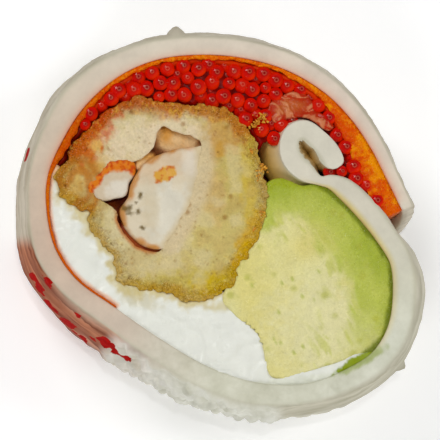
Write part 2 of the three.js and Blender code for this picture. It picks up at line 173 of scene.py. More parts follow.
def ease(low: float, high: float, value: Array) -> Array:
    """Smooth step from 0 at low to 1 at high, where high may be the smaller."""
    t = np.clip((value - low) / (high - low), 0, 1)
    return t * t * (3 - 2 * t)


def xyz(*columns: Array | float) -> Array:
    """Rows of x, y, z from columns, some of which may be one number."""
    return np.column_stack(np.broadcast_arrays(*columns))


def flat3(xy: Array, scale: float) -> Array:
    """Plan points as rows of x, y, z for the noise, at a scale."""
    return np.column_stack([xy * scale, np.zeros(len(xy))])


def uneven(xy: Array, scale: float, seed: float, layers: int = 3) -> Array:
    """Layered noise on the plan, with lumps `1 / scale` millimetres across."""
    return layered(flat3(xy, scale), seed, layers)


def smooth_curve(knots: Array, closed: bool, fine: int = 24) -> Array:
    """A centripetal Catmull-Rom curve through the knots.

    Args:
        knots: rows of coordinates.
        closed: whether the curve comes back to its first knot.
        fine: points on each stretch between two knots.

    Returns:
        The curve's points; a closed curve doesn't repeat its first one.
    """
    k = np.asarray(knots, float)
    if closed:
        before, after, after2 = np.roll(k, 1, 0), np.roll(k, -1, 0), np.roll(k, -2, 0)
    else:
        ends = np.vstack([2 * k[0] - k[1], k, 2 * k[-1] - k[-2]])
        before, after, after2 = ends[:-3], k[1:], ends[3:]
        k = k[:-1]
    gap = [np.linalg.norm(b - a, axis=1, keepdims=True) ** 0.5
           for a, b in ((before, k), (k, after), (after, after2))]
    leave = (k - before) / gap[0] - (after - before) / (gap[0] + gap[1]) + (after - k) / gap[1]
    reach = (after - k) / gap[1] - (after2 - k) / (gap[1] + gap[2]) + (after2 - after) / gap[2]
    leave, reach = leave * gap[1], reach * gap[1]
    t = (np.arange(fine) / fine)[:, None, None]
    points = (k + leave * t + (3 * (after - k) - 2 * leave - reach) * t**2
              + (2 * (k - after) + leave + reach) * t**3)
    points = points.transpose(1, 0, 2).reshape(-1, k.shape[1])
    return points if closed else np.vstack([points, knots[-1]])


def spaced(points: Array, pitch: float, closed: bool) -> Array:
    """The same curve with points an even distance apart.

    Args:
        points: the curve's points.
        pitch: the distance wanted between two points.
        closed: whether the curve is closed.

    Returns:
        The new points.
    """
    p = np.vstack([points, points[:1]]) if closed else points
    length = np.concatenate([[0], np.cumsum(np.linalg.norm(np.diff(p, axis=0), axis=1))])
    count = max(8, round(length[-1] / pitch))
    at = np.linspace(0, length[-1], count + 1)
    at = at[:-1] if closed else at
    return np.column_stack([np.interp(at, length, column) for column in p.T])


def anticlockwise(ring: Array) -> Array:
    """A closed ring, turned round if it runs clockwise.

    Args:
        ring: the ring's points.

    Returns:
        The ring's points, anticlockwise.
    """
    x, y = ring[:, 0], ring[:, 1]
    area = np.sum(x * np.roll(y, -1) - y * np.roll(x, -1))
    return ring if area > 0 else ring[::-1]


def outline(
    knots: Array, pitch: float, grow: float = 0.0, crag: float = 0.0, size: float = 1.0
) -> Array:
    """A smooth closed outline through the knots, uneven by `crag`.

    Args:
        knots: rows of x, y.
        pitch: distance between two points of the outline.
        grow: how far it is set out along its normal.
        crag: depth of its unevenness.
        size: width of one crag.

    Returns:
        The outline's points, anticlockwise.
    """
    ring = spaced(anticlockwise(smooth_curve(knots, True)), pitch, True)
    along = np.roll(ring, -2, 0) - np.roll(ring, 2, 0)
    along /= np.linalg.norm(along, axis=1, keepdims=True)
    out = grow + crag * uneven(ring, 1 / size, 7)
    return ring + np.column_stack([along[:, 1], -along[:, 0]]) * out[:, None]


def batches(count: int) -> list[Array]:
    """Indices up to a count, in batches that fit in memory."""
    return np.array_split(np.arange(count), max(1, count // BATCH))


def inside(p: Array, ring: Array) -> Array:
    """Whether each plan point lies inside a closed ring.

    Args:
        p: places, as rows of numbers.
        ring: the ring's points.

    Returns:
        Whether each place is inside.
    """
    a, b = ring, np.roll(ring, -1, 0)
    result = np.zeros(len(p), bool)
    for part in batches(len(p)):
        x, y = p[part, 0][:, None], p[part, 1][:, None]
        spans = (a[:, 1] > y) != (b[:, 1] > y)
        rise = np.where(np.abs(b[:, 1] - a[:, 1]) < TINY, TINY, b[:, 1] - a[:, 1])
        left = x < (b[:, 0] - a[:, 0]) * (y - a[:, 1]) / rise + a[:, 0]
        result[part] = np.sum(spans & left, axis=1) % 2 == 1
    return result


def nearest(p: Array, a: Array, b: Array) -> Array:
    """Distance from each plan point to the nearest of several straight stretches.

    Args:
        p: rows of x, y.
        a: where each stretch starts.
        b: where it ends.

    Returns:
        One distance for each point.
    """
    along = b - a
    square = np.maximum(np.sum(along**2, axis=1), TINY)
    result = np.empty(len(p))
    for part in batches(len(p)):
        away = p[part][:, None, :] - a
        t = np.clip(np.sum(away * along, axis=2) / square, 0, 1)
        result[part] = np.linalg.norm(away - t[:, :, None] * along, axis=2).min(axis=1)
    return result


def distance(p: Array, line: Array, closed: bool = True) -> Array:
    """Distance from each plan point to a line, whose last point joins its first if it is closed."""
    a = line if closed else line[:-1]
    return nearest(p, a, np.roll(line, -1, 0) if closed else line[1:])


def spot(px: float, py: float) -> Array:
    """Plan place of a pixel of the photo, at the upper cut."""
    return np.array([(px - PHOTO_SIDE / 2) * PHOTO_PITCH, (PHOTO_SIDE / 2 - py) * PHOTO_PITCH])


def spots(pixels: Pixels) -> Array:
    """Plan places of several pixels of the photo."""
    return np.array([spot(*pixel) for pixel in pixels])


def to_path(xy: Array, pixels: Pixels) -> Array:
    """Distance from plan points to a smooth line through pixels of the photo."""
    return distance(xy, smooth_curve(spots(pixels), False), False)


@dataclass(frozen=True)
class Patch:
    """A soft-edged oval on the plan: its middle and half sizes in photo pixels, and its turn."""

    middle: tuple[float, float]
    half: tuple[float, float]
    turn: float = 0.0

    def mask(self, xy: Array, soft: float = 0.5, ragged: float = 0.25) -> Array:
        """How far each plan point is inside the oval, from 0 to 1.

        Args:
            xy: plan points.
            soft: width of its edge, as a share of its size.
            ragged: unevenness of its edge.

        Returns:
            The mask's value at each point.
        """
        c, s = math.cos(math.radians(self.turn)), math.sin(math.radians(self.turn))
        d = (xy - spot(*self.middle)) / PHOTO_PITCH
        u = (d[:, 0] * c + d[:, 1] * s) / self.half[0]
        v = (d[:, 1] * c - d[:, 0] * s) / self.half[1]
        away = np.hypot(u, v) + ragged * uneven(xy, 1.3, self.middle[0])
        return ease(1 + soft / 2, 1 - soft / 2, away)


def linear(shades: Array) -> Array:
    """Linear colours from shades of 0 to 255."""
    v = np.clip(np.asarray(shades, float) / 255, 0, 1)
    return np.where(v <= 0.04045, v / 12.92, ((v + 0.055) / 1.055) ** 2.4)


def srgb(red: float, green: float, blue: float) -> tuple[float, float, float]:
    """One linear colour from shades of 0 to 255."""
    return tuple(float(c) for c in linear(np.array([red, green, blue])))


def plain(colour: Shade, xy: Array) -> Array:
    """The same colour at each of several points."""
    return np.tile(srgb(*colour), (len(xy), 1))


def coated(tint: Array, *coats: tuple[Shade, Array]) -> Array:
    """Colours of several points, with coats of others laid over them.

    Args:
        tint: the colours so far.
        coats: each coat's colour, and its share of every point.

    Returns:
        The new colours.
    """
    for colour, share in coats:
        tint = tint + (np.array(srgb(*colour)) - tint) * np.clip(share, 0, 1)[:, None]
    return tint


def toothed(ring: Array, patch: Patch, pitch: float, depth: float) -> Array:
    """A ring whose points inside the patch are cut into small teeth.

    Args:
        ring: the outline's points, anticlockwise.
        patch: where it is toothed.
        pitch: distance between two teeth.
        depth: depth of the teeth.

    Returns:
        The new ring.
    """
    run = np.cumsum(np.linalg.norm(ring - np.roll(ring, 1, axis=0), axis=1)) / pitch
    inward = ring.mean(axis=0) - ring
    inward /= np.linalg.norm(inward, axis=1, keepdims=True)
    return ring + inward * (depth * (run % 1) * patch.mask(ring, 0.4, 0.0))[:, None]


@dataclass(frozen=True)
class Wash:
    """A soft stain of one colour, in shades of 0 to 255, on a cut face."""

    colour: Shade
    patch: Patch
    strength: float = 0.85
    soft: float = 0.9
    ragged: float = 0.3


def washed(xy: Array, tint: Array, washes: tuple[Wash, ...]) -> Array:
    """Colours of plan points, with soft stains laid over them one after another."""
    return coated(tint, *((w.colour, w.strength * w.patch.mask(xy, w.soft, w.ragged)) for w in washes))


def slump(p: Array) -> Array:
    """Places of the straight-sided roll, moved to where the slumped roll has them.

    Args:
        p: places, as rows of numbers.

    Returns:
        The places where they end up.
    """
    depth = np.clip(1 - p[:, 2] / SLICE, 0, 1)
    angle = np.degrees(np.arctan2(p[:, 1], p[:, 0]))
    swell = np.interp(angle, SWELL[:, 0], SWELL[:, 1])
    k = 1 + swell * np.sin(math.pi * SWELL_TURN * depth**SWELL_EASE) / ROLL_RADIUS
    return np.column_stack([p[:, 0] * k, p[:, 1] * k, p[:, 2]])


class Eye:
    """The photo's point of view: above the upper cut, a little to the lower left."""

    def __init__(self) -> None:
        """Works out the eye's axes in the plan."""
        tilt, heading = math.radians(EYE_TILT), math.radians(EYE_HEADING)
        self.back = np.array([
            math.sin(tilt) * math.cos(heading), math.sin(tilt) * math.sin(heading), math.cos(tilt)])
        right = np.cross([0.0, 1.0, 0.0], self.back)
        self.right = right / np.linalg.norm(right)
        self.up = np.cross(self.back, self.right)
        self.place = np.array([0.0, 0.0, SLICE]) + self.back * EYE_DISTANCE

    def pixels(self, p: Array) -> Array:
        """Photo pixels at which plan places show.

        Args:
            p: places, as rows of numbers.

        Returns:
            Rows of pixels across and down.
        """
        away = p - self.place
        scale = EYE_DISTANCE / -(away @ self.back) / PHOTO_PITCH
        half = PHOTO_SIDE / 2
        return np.column_stack([half + (away @ self.right) * scale, half - (away @ self.up) * scale])


# ---------------------------------------------------------------- meshes


def mesh_object(
    name: str, points: Array, faces: Faces | Array, masks: dict[str, Array] | None = None
) -> Object:
    """A smooth-shaded mesh in the frame, from plan places in millimetres.

    Args:
        name: the piece's name.
        points: rows of x, y, z on the plan.
        faces: the corners of each face.
        masks: numbers or vectors kept on the points for the materials.

    Returns:
        The new object, linked to the scene.
    """
    placed = (points + np.append(PLAN_SHIFT, 0)) * MM
    mesh = bpy.data.meshes.new(name)
    rows = faces.tolist() if isinstance(faces, np.ndarray) else faces
    mesh.from_pydata(placed.tolist(), [], rows)
    mesh.shade_smooth()
    for key, values in (masks or {}).items():
        kind, field_name = ("FLOAT", "value") if values.ndim == 1 else ("FLOAT_VECTOR", "vector")
        attribute = mesh.attributes.new(key, kind, "POINT")
        attribute.data.foreach_set(field_name, values.astype(np.float32).ravel())
    mesh.validate()
    made = bpy.data.objects.new(name, mesh)
    bpy.context.scene.collection.objects.link(made)
    return made


def settle(made: Object, material: Material, slot: str, *nodes: str) -> None:
    """Gives a piece its material and its body, and hides the solids that it stands for.

    Args:
        made: the object.
        material: its material.
        slot: not used.
        nodes: the CAD nodes that it stands for.
    """
    made.data.materials.clear()
    made.data.materials.append(material)
    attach(made, "root")
    if nodes:
        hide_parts(*nodes)
    count = sum(len(face.vertices) - 2 for face in made.data.polygons)
    LOG.info("%s: %d triangles", made.name, count)


@dataclass
class Region:
    """Triangles of the plan inside one ring and outside others."""

    points: Array
    triangles: Array
    rim: Array  # directed edges round it, with the region on their left

    @staticmethod
    def cut(keep: Array, cuts: list[Array], pitch: float, seed: int = 1) -> "Region":
        """Fills a ring with even triangles and leaves out what lies in the other rings.

        Args:
            keep: the outer ring.
            cuts: rings of the neighbours that it is cut back from.
            pitch: distance between two of its points.
            seed: seed of the slight unevenness of its points.

        Returns:
            The region, without loose scraps.
        """
        rings = [keep, *cuts]
        low, high = keep.min(0) - pitch, keep.max(0) + pitch
        rows = np.arange(low[1], high[1], pitch * 0.87)
        columns = np.arange(low[0], high[0], pitch)
        x, y = np.meshgrid(columns, rows)
        x = x + (np.arange(len(rows)) % 2)[:, None] * pitch / 2
        grid = np.column_stack([x.ravel(), y.ravel()])
        grid += np.random.default_rng(seed).uniform(-0.16, 0.16, grid.shape) * pitch
        grid = grid[inside(grid, keep)]
        for ring in cuts:
            grid = grid[~inside(grid, ring)]
        for ring in rings:
            grid = grid[distance(grid, ring) > 0.5 * pitch]
        vertices = np.vstack([*rings, grid])
        edges: list[tuple[int, int]] = []
        start = 0
        for ring in rings:
            n = len(ring)
            edges += [(start + i, start + (i + 1) % n) for i in range(n)]
            start += n
        found = delaunay_2d_cdt([Vector(v) for v in vertices], edges, [], 0, 1e-7)
        points = np.array([tuple(v) for v in found[0]])
        triangles = np.array(found[2])
        middle = points[triangles].mean(axis=1)
        kept = inside(middle, keep)
        for ring in cuts:
            kept &= ~inside(middle, ring)
        return Region.tidy(points, triangles[kept])

    @staticmethod
    def tidy(points: Array, triangles: Array) -> "Region":
        """Keeps the biggest connected group of triangles and finds its rim.

        Args:
            points: rows of x, y.
            triangles: the triangles between them.

        Returns:
            The region.
        """
        label = np.arange(len(points))
        while True:
            least = label[triangles].min(axis=1)
            new = label.copy()
            np.minimum.at(new, triangles.ravel(), np.repeat(least, 3))
            new = new[new]
            if np.array_equal(new, label):
                break
            label = new
        groups, counts = np.unique(label[triangles[:, 0]], return_counts=True)
        triangles = triangles[label[triangles[:, 0]] == groups[counts.argmax()]]
        used, flat = np.unique(triangles, return_inverse=True)
        points, triangles = points[used], flat.reshape(-1, 3)
        a, b, c = (points[triangles[:, i]] for i in range(3))
        turned = (b - a)[:, 0] * (c - a)[:, 1] < (b - a)[:, 1] * (c - a)[:, 0]
        triangles[turned] = triangles[turned][:, ::-1]
        sides = np.vstack([triangles[:, [0, 1]], triangles[:, [1, 2]], triangles[:, [2, 0]]])
        keys = sides[:, 0] * len(points) + sides[:, 1]
        mirror = sides[:, 1] * len(points) + sides[:, 0]
        return Region(points, triangles, sides[~np.isin(keys, mirror)])

    def outward(self) -> Array:
        """The outward normal at each of its points, zero away from its rim.

        Returns:
            The directions.
        """
        normal = np.zeros((len(self.points), 2))
        along = self.points[self.rim[:, 1]] - self.points[self.rim[:, 0]]
        out = np.column_stack([along[:, 1], -along[:, 0]])
        for end in self.rim.T:
            np.add.at(normal, end, out)
        return normal / np.maximum(np.linalg.norm(normal, axis=1, keepdims=True), 1e-9)

    def rim_distance(self) -> Array:
        """Distance from each of its points to its own rim."""
        a, b = (self.points[self.rim[:, end]] for end in (0, 1))
        return nearest(self.points, a, b)


@dataclass
class Block:
    """A closed block that stands on a region, between an uneven top and underside."""

    points: Array
    faces: Faces
    plan: Array  # plan place of each point before the roll slumps
    level: Array  # 1 on the upper cut, 0 on the lower one, between them on the walls

    @staticmethod
    def raise_from(
        region: Region, top: Array, bottom: Array, levels: int, rough: float, seed: float
    ) -> "Block":
        """Builds the block.

        Args:
            region: the plan of the block.
            top: height of the upper cut at each of the region's points.
            bottom: height of the lower cut.
            levels: rows of faces up the walls.
            rough: unevenness of the walls.
            seed: seed of that unevenness.

        Returns:
            The block, slumped with the roll.
        """
        n = len(region.points)
        edge = np.unique(region.rim)
        order = np.full(n, -1)
        order[edge] = np.arange(len(edge))
        out = region.outward()[edge]
        share = np.arange(1, levels) / levels
        rows = []
        for s in share:
            z = bottom[edge] * (1 - s) + top[edge] * s
            xy = region.points[edge]
            push = rough * math.sin(math.pi * s) ** 0.5 * layered(np.column_stack([xy, z]) * 0.9, seed, 3)
            rows.append(np.column_stack([xy + out * push[:, None], z]))
        flat = np.vstack([
            np.column_stack([region.points, top]), np.column_stack([region.points, bottom]), *rows])
        level = np.concatenate([np.ones(n), np.zeros(n), np.repeat(share, len(edge))])

        def ring(step: int) -> Array:
            """Indices of the rim's points at a step up the wall.

            Args:
                step: the step, from 0 at the bottom.

            Returns:
                The indices.
            """
            if step in (0, levels):
                return edge + (n if step == 0 else 0)
            return 2 * n + (step - 1) * len(edge) + np.arange(len(edge))

        faces = [tuple(t) for t in region.triangles.tolist()]
        faces += [tuple(t) for t in (region.triangles[:, ::-1] + n).tolist()]
        a, b = order[region.rim[:, 0]], order[region.rim[:, 1]]
        for step in range(levels):
            low, high = ring(step), ring(step + 1)
            faces += np.column_stack([low[a], low[b], high[b], high[a]]).tolist()
        plan = np.vstack([region.points, region.points, np.tile(region.points[edge], (levels - 1, 1))])
        return Block(slump(flat), faces, plan, level)


def round_edge(away: Array, radius: float) -> Array:
    """How far a rounded edge lies below its top, by distance from the rim."""
    t = np.clip(1 - away / radius, 0, 1)
    return radius * (1 - np.sqrt(1 - t**2 * EDGE_SWEEP))


def strip_faces(stations: int, n: int) -> Faces:
    """Faces between neighbouring sections of a long strip.

    Args:
        stations: how many sections it has.
        n: points round one section.

    Returns:
        The corners of each face.
    """
    i = np.arange(stations - 1)[:, None] * n
    j = np.arange(n)[None, :]
    after = (j + 1) % n
    quads = np.stack([i + j, i + n + j, i + n + after, i + after], axis=-1)
    return [tuple(q) for q in quads.reshape(-1, 4).tolist()]


def tuck(share: Array, z: Array) -> Array:
    """How far the sheet's outer end tucks in below the upper cut, from 0 to 1."""
    return np.clip(1 - share / TUCK_LENGTH, 0, 1) * np.clip(1 - z / SLICE, 0, 1)


# ---------------------------------------------------------------- the sheet's line

SHEET = np.array([
    [28.5, 2.1, 2.0], [26.3, 6.6, 2.1], [23.9, 11.5, 2.3], [20.8, 16.2, 2.5], [16.7, 20.4, 2.7],
    [11.0, 23.9, 2.9], [4.1, 25.9, 3.0], [-3.0, 26.4, 3.0], [-9.9, 25.6, 3.2], [-16.1, 23.1, 3.7],
    [-21.7, 18.4, 4.1], [-24.9, 13.2, 3.7], [-27.2, 6.9, 3.1], [-27.4, 1.3, 3.1], [-26.1, -5.0, 3.4],
    [-22.6, -10.0, 3.2], [-16.5, -14.6, 3.5], [-10.0, -19.1, 3.5], [-2.4, -23.6, 3.7],
    [5.4, -26.0, 3.6], [13.2, -25.9, 3.2], [19.5, -23.8, 3.4], [24.3, -20.6, 3.4],
    [27.0, -16.2, 3.6], [27.9, -10.7, 3.8], [27.3, -5.8, 3.6], [25.1, -2.0, 3.6],
    [22.0, 1.9, 3.6], [18.9, 4.9, 3.4], [16.9, 5.9, 2.4], [15.1, 6.1, 1.5], [13.2, 7.2, 2.9],
    [11.2, 9.0, 3.2], [10.5, 11.1, 3.0], [11.1, 13.1, 2.9], [12.8, 13.7, 3.0], [14.8, 12.3, 3.1],
    [16.2, 10.7, 3.4], [17.0, 9.3, 3.4], [17.4, 7.9, 3.0],
])
TIP_ROUNDING = 1.1
TUCK_LENGTH = 0.05  # share of the sheet over which its outer end tucks in
TUCK_ONWARD = 2.6
TUCK_INWARD = 1.3

# Thickness of the orange layer, by share of the sheet's length.
PASTE = np.array([
    [0, 1.75], [0.022, 2.35], [0.045, 2.2], [0.075, 1.7], [0.105, 1.0], [0.14, 0.6], [0.2, 0.45],
    [0.28, 0.5], [0.32, 0.85], [0.352, 1.05], [0.37, 0.75], [0.385, 0.4], [0.41, 0.25], [0.45, 0.2],
    [0.51, 0.16],
])


class SheetLine:
    """The sheet's middle line on the plan, from its outer end to the hook's tip."""

    def __init__(self) -> None:
        """Lays out the line and its length."""
        self.points = smooth_curve(SHEET, False, 48)
        step = np.linalg.norm(np.diff(self.points, axis=0), axis=1)
        self.run = np.concatenate([[0], np.cumsum(step)])
        self.length = self.run[-1]

    def at(self, share: Array) -> tuple[Array, Array, Array, Array]:
        """The line at shares of its length.

        Args:
            share: numbers from 0 to 1.

        Returns:
            Its middle, its direction, its inward normal and half the sheet's thickness.
        """
        where = np.asarray(share) * self.length
        column = [np.interp(where, self.run, c) for c in self.points.T]
        ahead, behind = np.clip(where + 0.05, 0, self.length), np.clip(where - 0.05, 0, self.length)
        t = np.column_stack([
            np.interp(ahead, self.run, c) - np.interp(behind, self.run, c) for c in self.points.T[:2]])
        t /= np.linalg.norm(t, axis=1, keepdims=True)
        to_tip = (1 - np.asarray(share)) * self.length
        turn = np.clip(1 - to_tip / TIP_ROUNDING, 0, 1)
        half = column[2] / 2 * np.maximum(np.sqrt(1 - turn**2), 0.25)
        return np.column_stack(column[:2]), t, np.column_stack([-t[:, 1], t[:, 0]]), half

    def band_ring(self, share: Array, near: Array, far: Array) -> Array:
        """A closed ring on the plan, along the sheet between two distances from its middle."""
        middle, _, inward, _ = self.at(share)
        return np.vstack([middle + inward * near[:, None], (middle + inward * far[:, None])[::-1]])

    def sheet_ring(self, grow: float) -> Array:
        """The sheet's own outline on the plan, set out by `grow`.

        Args:
            grow: how far the ring is set out.

        Returns:
            The ring's points.
        """
        share = np.linspace(0, 1, 500)
        half = self.at(share)[3] + grow
        return self.band_ring(share, -half, half)

    def paste_ring(self, grow: float) -> Array:
        """The orange layer's outline on the plan.

        Args:
            grow: how far the ring is set out.

        Returns:
            The ring's points.
        """
        share = np.linspace(0, PASTE[-1, 0], 260)
        half = self.at(share)[3]
        return self.band_ring(share, half - 0.05, half + np.interp(share, *PASTE.T) + 0.25 + grow)


LINE = SheetLine()

# Outlines at the upper cut.
BATTER = np.array([
    [-22.9, 8.7], [-21.9, 10.9], [-20.3, 12.8], [-18.6, 14.5], [-16.8, 16.2], [-14.5, 17.5],
    [-11.5, 18.2], [-9.0, 17.9], [-6.3, 17.3], [-3.0, 17.1], [0.3, 16.9], [2.5, 15.9], [4.1, 14.2],
    [5.1, 12.0], [5.8, 9.6], [6.5, 7.0], [7.1, 4.5], [6.9, 2.2], [6.2, -0.6], [5.2, -3.2],
    [3.9, -5.5], [2.6, -7.3], [1.9, -9.4], [0.2, -10.9], [-1.9, -11.9], [-4.2, -12.3],
    [-6.4, -11.3], [-9.0, -10.5], [-12.0, -10.1], [-14.8, -9.6], [-15.2, -7.6], [-15.9, -5.5],
    [-17.4, -3.5], [-19.2, -1.9], [-19.8, -0.4], [-19.2, 0.9], [-20.7, 1.4], [-22.7, 2.7],
    [-24.2, 4.7], [-24.5, 6.8],
])
TUNNEL = np.array([
    [-19.2, 4.9], [-18.8, 5.6], [-17.4, 6.5], [-16.3, 7.9], [-14.6, 8.4], [-12.8, 8.7],
    [-11.2, 9.6], [-10.0, 11.0], [-9.2, 13.6], [-8.4, 14.0], [-6.8, 13.2], [-4.6, 12.7],
    [-3.0, 11.9], [-2.9, 10.2], [-3.5, 8.2], [-3.9, 5.8], [-4.7, 3.0], [-5.8, 0.4], [-6.8, -1.6],
    [-8.0, -3.3], [-9.0, -4.75], [-10.4, -4.8], [-12.5, -4.0], [-14.1, -2.35], [-15.2, -0.2],
    [-15.5, 1.25], [-17.0, 2.35], [-18.5, 3.3],
])
PRAWN = np.array([
    [-12.2, 7.4], [-11.2, 8.6], [-8.9, 9.8], [-6.0, 10.7], [-3.3, 10.9], [-2.4, 9.8], [-2.4, 7.8],
    [-2.8, 5.4], [-3.7, 2.9], [-4.8, 0.4], [-5.9, -1.9], [-7.3, -3.8], [-9.6, -4.3], [-11.8, -3.6],
    [-13.5, -2.0], [-14.6, -0.1], [-14.8, 1.4], [-13.7, 3.4], [-13.3, 5.2],
])
PRAWN_TAIL = np.array([
    [-19.7, 4.7], [-19.4, 5.8], [-17.9, 6.8], [-16.8, 8.3], [-15.0, 8.9], [-13.0, 8.5],
    [-12.8, 6.9], [-13.7, 5.5], [-14.1, 3.8], [-15.6, 3.3], [-17.4, 2.9], [-19.1, 3.4],
])
AVOCADO = np.array([
    [7.0, 5.4], [9.0, 6.3], [10.6, 5.9], [12.4, 5.2], [14.5, 5.6], [17.0, 5.4], [19.1, 3.4],
    [21.7, 0.4], [24.0, -2.6], [25.9, -5.9], [26.9, -9.8], [27.0, -13.2], [26.2, -16.0],
    [24.8, -18.6], [23.5, -19.6], [21.3, -19.9], [17.6, -21.0], [13.5, -22.3], [9.4, -23.5],
    [7.8, -23.2], [7.0, -21.2], [6.5, -18.9], [5.3, -16.9], [3.5, -15.2], [1.9, -13.7],
    [0.6, -11.9], [1.4, -9.4], [2.6, -7.0], [4.3, -3.9], [5.7, -0.4], [6.5, 2.8],
])
CHEESE = np.array([
    [-25.9, 8.4], [-27.0, 5.0], [-27.2, 0.5], [-26.0, -5.0], [-22.5, -10.0], [-16.5, -14.4],
    [-10.0, -19.0], [-2.4, -23.4], [5.4, -25.9], [13.2, -25.7], [18.6, -23.6], [22.4, -21.8],
    [25.6, -19.0], [26.0, -17.0], [24.0, -17.4], [18.0, -19.0], [12.0, -20.0], [6.5, -16.0],
    [2.0, -11.5], [-4.0, -9.5], [-11.0, -8.0], [-15.5, -4.5], [-18.0, 0.0], [-22.0, 4.5],
    [-24.2, 8.0],
])
SHRED = np.array([
    [7.4, 16.6], [8.0, 17.8], [9.8, 18.9], [11.6, 19.2], [13.4, 18.4], [14.4, 16.9], [16.0, 15.4],
    [17.0, 14.2], [16.4, 13.7], [14.2, 15.0], [12.2, 15.7], [10.2, 15.3], [8.4, 14.9],
])
POCKET = np.array([
    [6.6, 4.9], [6.3, 7.2], [5.9, 10.6], [8.6, 12.2], [10.4, 9.4], [10.9, 7.0], [9.3, 5.2],
])


# ---------------------------------------------------------------- materials


class Nodes:
    """A node tree that is built up node by node."""

    def __init__(self, tree: bpy.types.NodeTree) -> None:
        """Takes the tree that the nodes go into."""
        self.tree = tree

    def add(self, kind: str, inputs: dict[str | int, object], **settings: object) -> bpy.types.Node:
        """Adds a node.

        Args:
            kind: its type.
            inputs: sockets or values for its inputs, by name or number.
            settings: its options.

        Returns:
            The node.
        """
        made = self.tree.nodes.new(kind)
        for key, value in settings.items():
            setattr(made, key, value)
        for key, value in inputs.items():
            self.feed(made.inputs[key], value)
        return made

    def feed(self, socket: Socket, value: object) -> None:
        """Links a socket to another one, or sets its value; a colour may leave out its alpha.

        Args:
            socket: the input.
            value: a socket, a number or several.
        """
        if isinstance(value, Socket):
            self.tree.links.new(value, socket)
        elif isinstance(value, (int, float)) or len(value) == len(socket.default_value):
            socket.default_value = value
        else:
            socket.default_value = (*value, 1.0)

    def ranged(self, *numbers: object, kind: str = "LINEAR") -> Socket:
        """A number moved from one span to another: the number, both spans, and how it eases."""
        made = self.add("ShaderNodeMapRange", dict(enumerate(numbers)), interpolation_type=kind)
        return made.outputs[0]


class Group(Nodes):
    """A node group that several materials share, with coordinates in millimetres."""

    def __init__(self, name: str, **inputs: float) -> None:
        """Starts the group.

        Args:
            name: the group's name.
            inputs: its inputs and their usual values.
        """
        super().__init__(bpy.data.node_groups.new(name, "ShaderNodeTree"))
        for key, value in inputs.items():
            socket = self.tree.interface.new_socket(key, in_out="INPUT", socket_type="NodeSocketFloat")
            socket.default_value = value
        self.given = self.add("NodeGroupInput", {}).outputs
        where = self.add("ShaderNodeTexCoord", {}).outputs["Object"]
        scaled = self.add("ShaderNodeVectorMath", {0: where, 3: 1 / MM}, operation="SCALE")
        self.where = scaled.outputs[0]

    def give(self, **outputs: Socket) -> None:
        """Ends the group with its outputs.

        Args:
            outputs: what each output gives, by name.
        """
        for key in outputs:
            self.tree.interface.new_socket(key, in_out="OUTPUT", socket_type="NodeSocketFloat")
        self.add("NodeGroupOutput", outputs)


def build_mottle(name: str) -> None:
    """Soft cloudy patches, from 0 to 1: Pitch is patches for each millimetre.

    Args:
        name: its name.
    """
    g = Group(name, Pitch=0.5, Shift=0.0)
    inputs = {"Vector": g.where, "Scale": g.given["Pitch"], "W": g.given["Shift"]}
    inputs |= {"Detail": 4, "Roughness": 0.6}
    noise = g.add("ShaderNodeTexNoise", inputs, noise_dimensions="4D")
    g.give(Value=g.ranged(noise.outputs["Fac"], 0.3, 0.7, 0.0, 1.0))


def build_grain(name: str) -> None:
    """Fine grains: a height, and a mask of the few that stand out.

    Args:
        name: its name.
    """
    g = Group(name, Pitch=2.0)
    cell = g.add("ShaderNodeTexVoronoi", {"Vector": g.where, "Scale": g.given["Pitch"]})
    shade = g.add("ShaderNodeSeparateColor", {0: cell.outputs["Color"]}).outputs[0]
    low = g.ranged(cell.outputs["Distance"], 0.0, 0.9, 1.0, 0.0)
    g.give(Height=low, Grains=g.ranged(shade, 0.55, 0.95, 0.0, 1.0))


def build_wet(name: str) -> None:
    """A film of moisture that comes and goes: roughness between Wet and Dry.

    Args:
        name: its name.
    """
    g = Group(name, Pitch=0.6, Wet=0.15, Dry=0.5)
    noise = g.add("ShaderNodeTexNoise", {"Vector": g.where, "Scale": g.given["Pitch"], "Detail": 5})
    g.give(Roughness=g.ranged(noise.outputs["Fac"], 0.4, 0.62, g.given["Wet"], g.given["Dry"]))


class Effect(Enum):
    """Effects that more than one material uses."""

    MOTTLE = "soft mottling"
    GRAIN = "fine grain"
    WET = "wet film"


BUILDERS = {Effect.MOTTLE: build_mottle, Effect.GRAIN: build_grain, Effect.WET: build_wet}


def group_tree(effect: Effect) -> bpy.types.NodeTree:
    """The shared node group of an effect, built when it is first asked for.

    Args:
        effect: the effect.

    Returns:
        The group.
    """
    if effect.value not in bpy.data.node_groups:
        BUILDERS[effect](effect.value)
    return bpy.data.node_groups[effect.value]


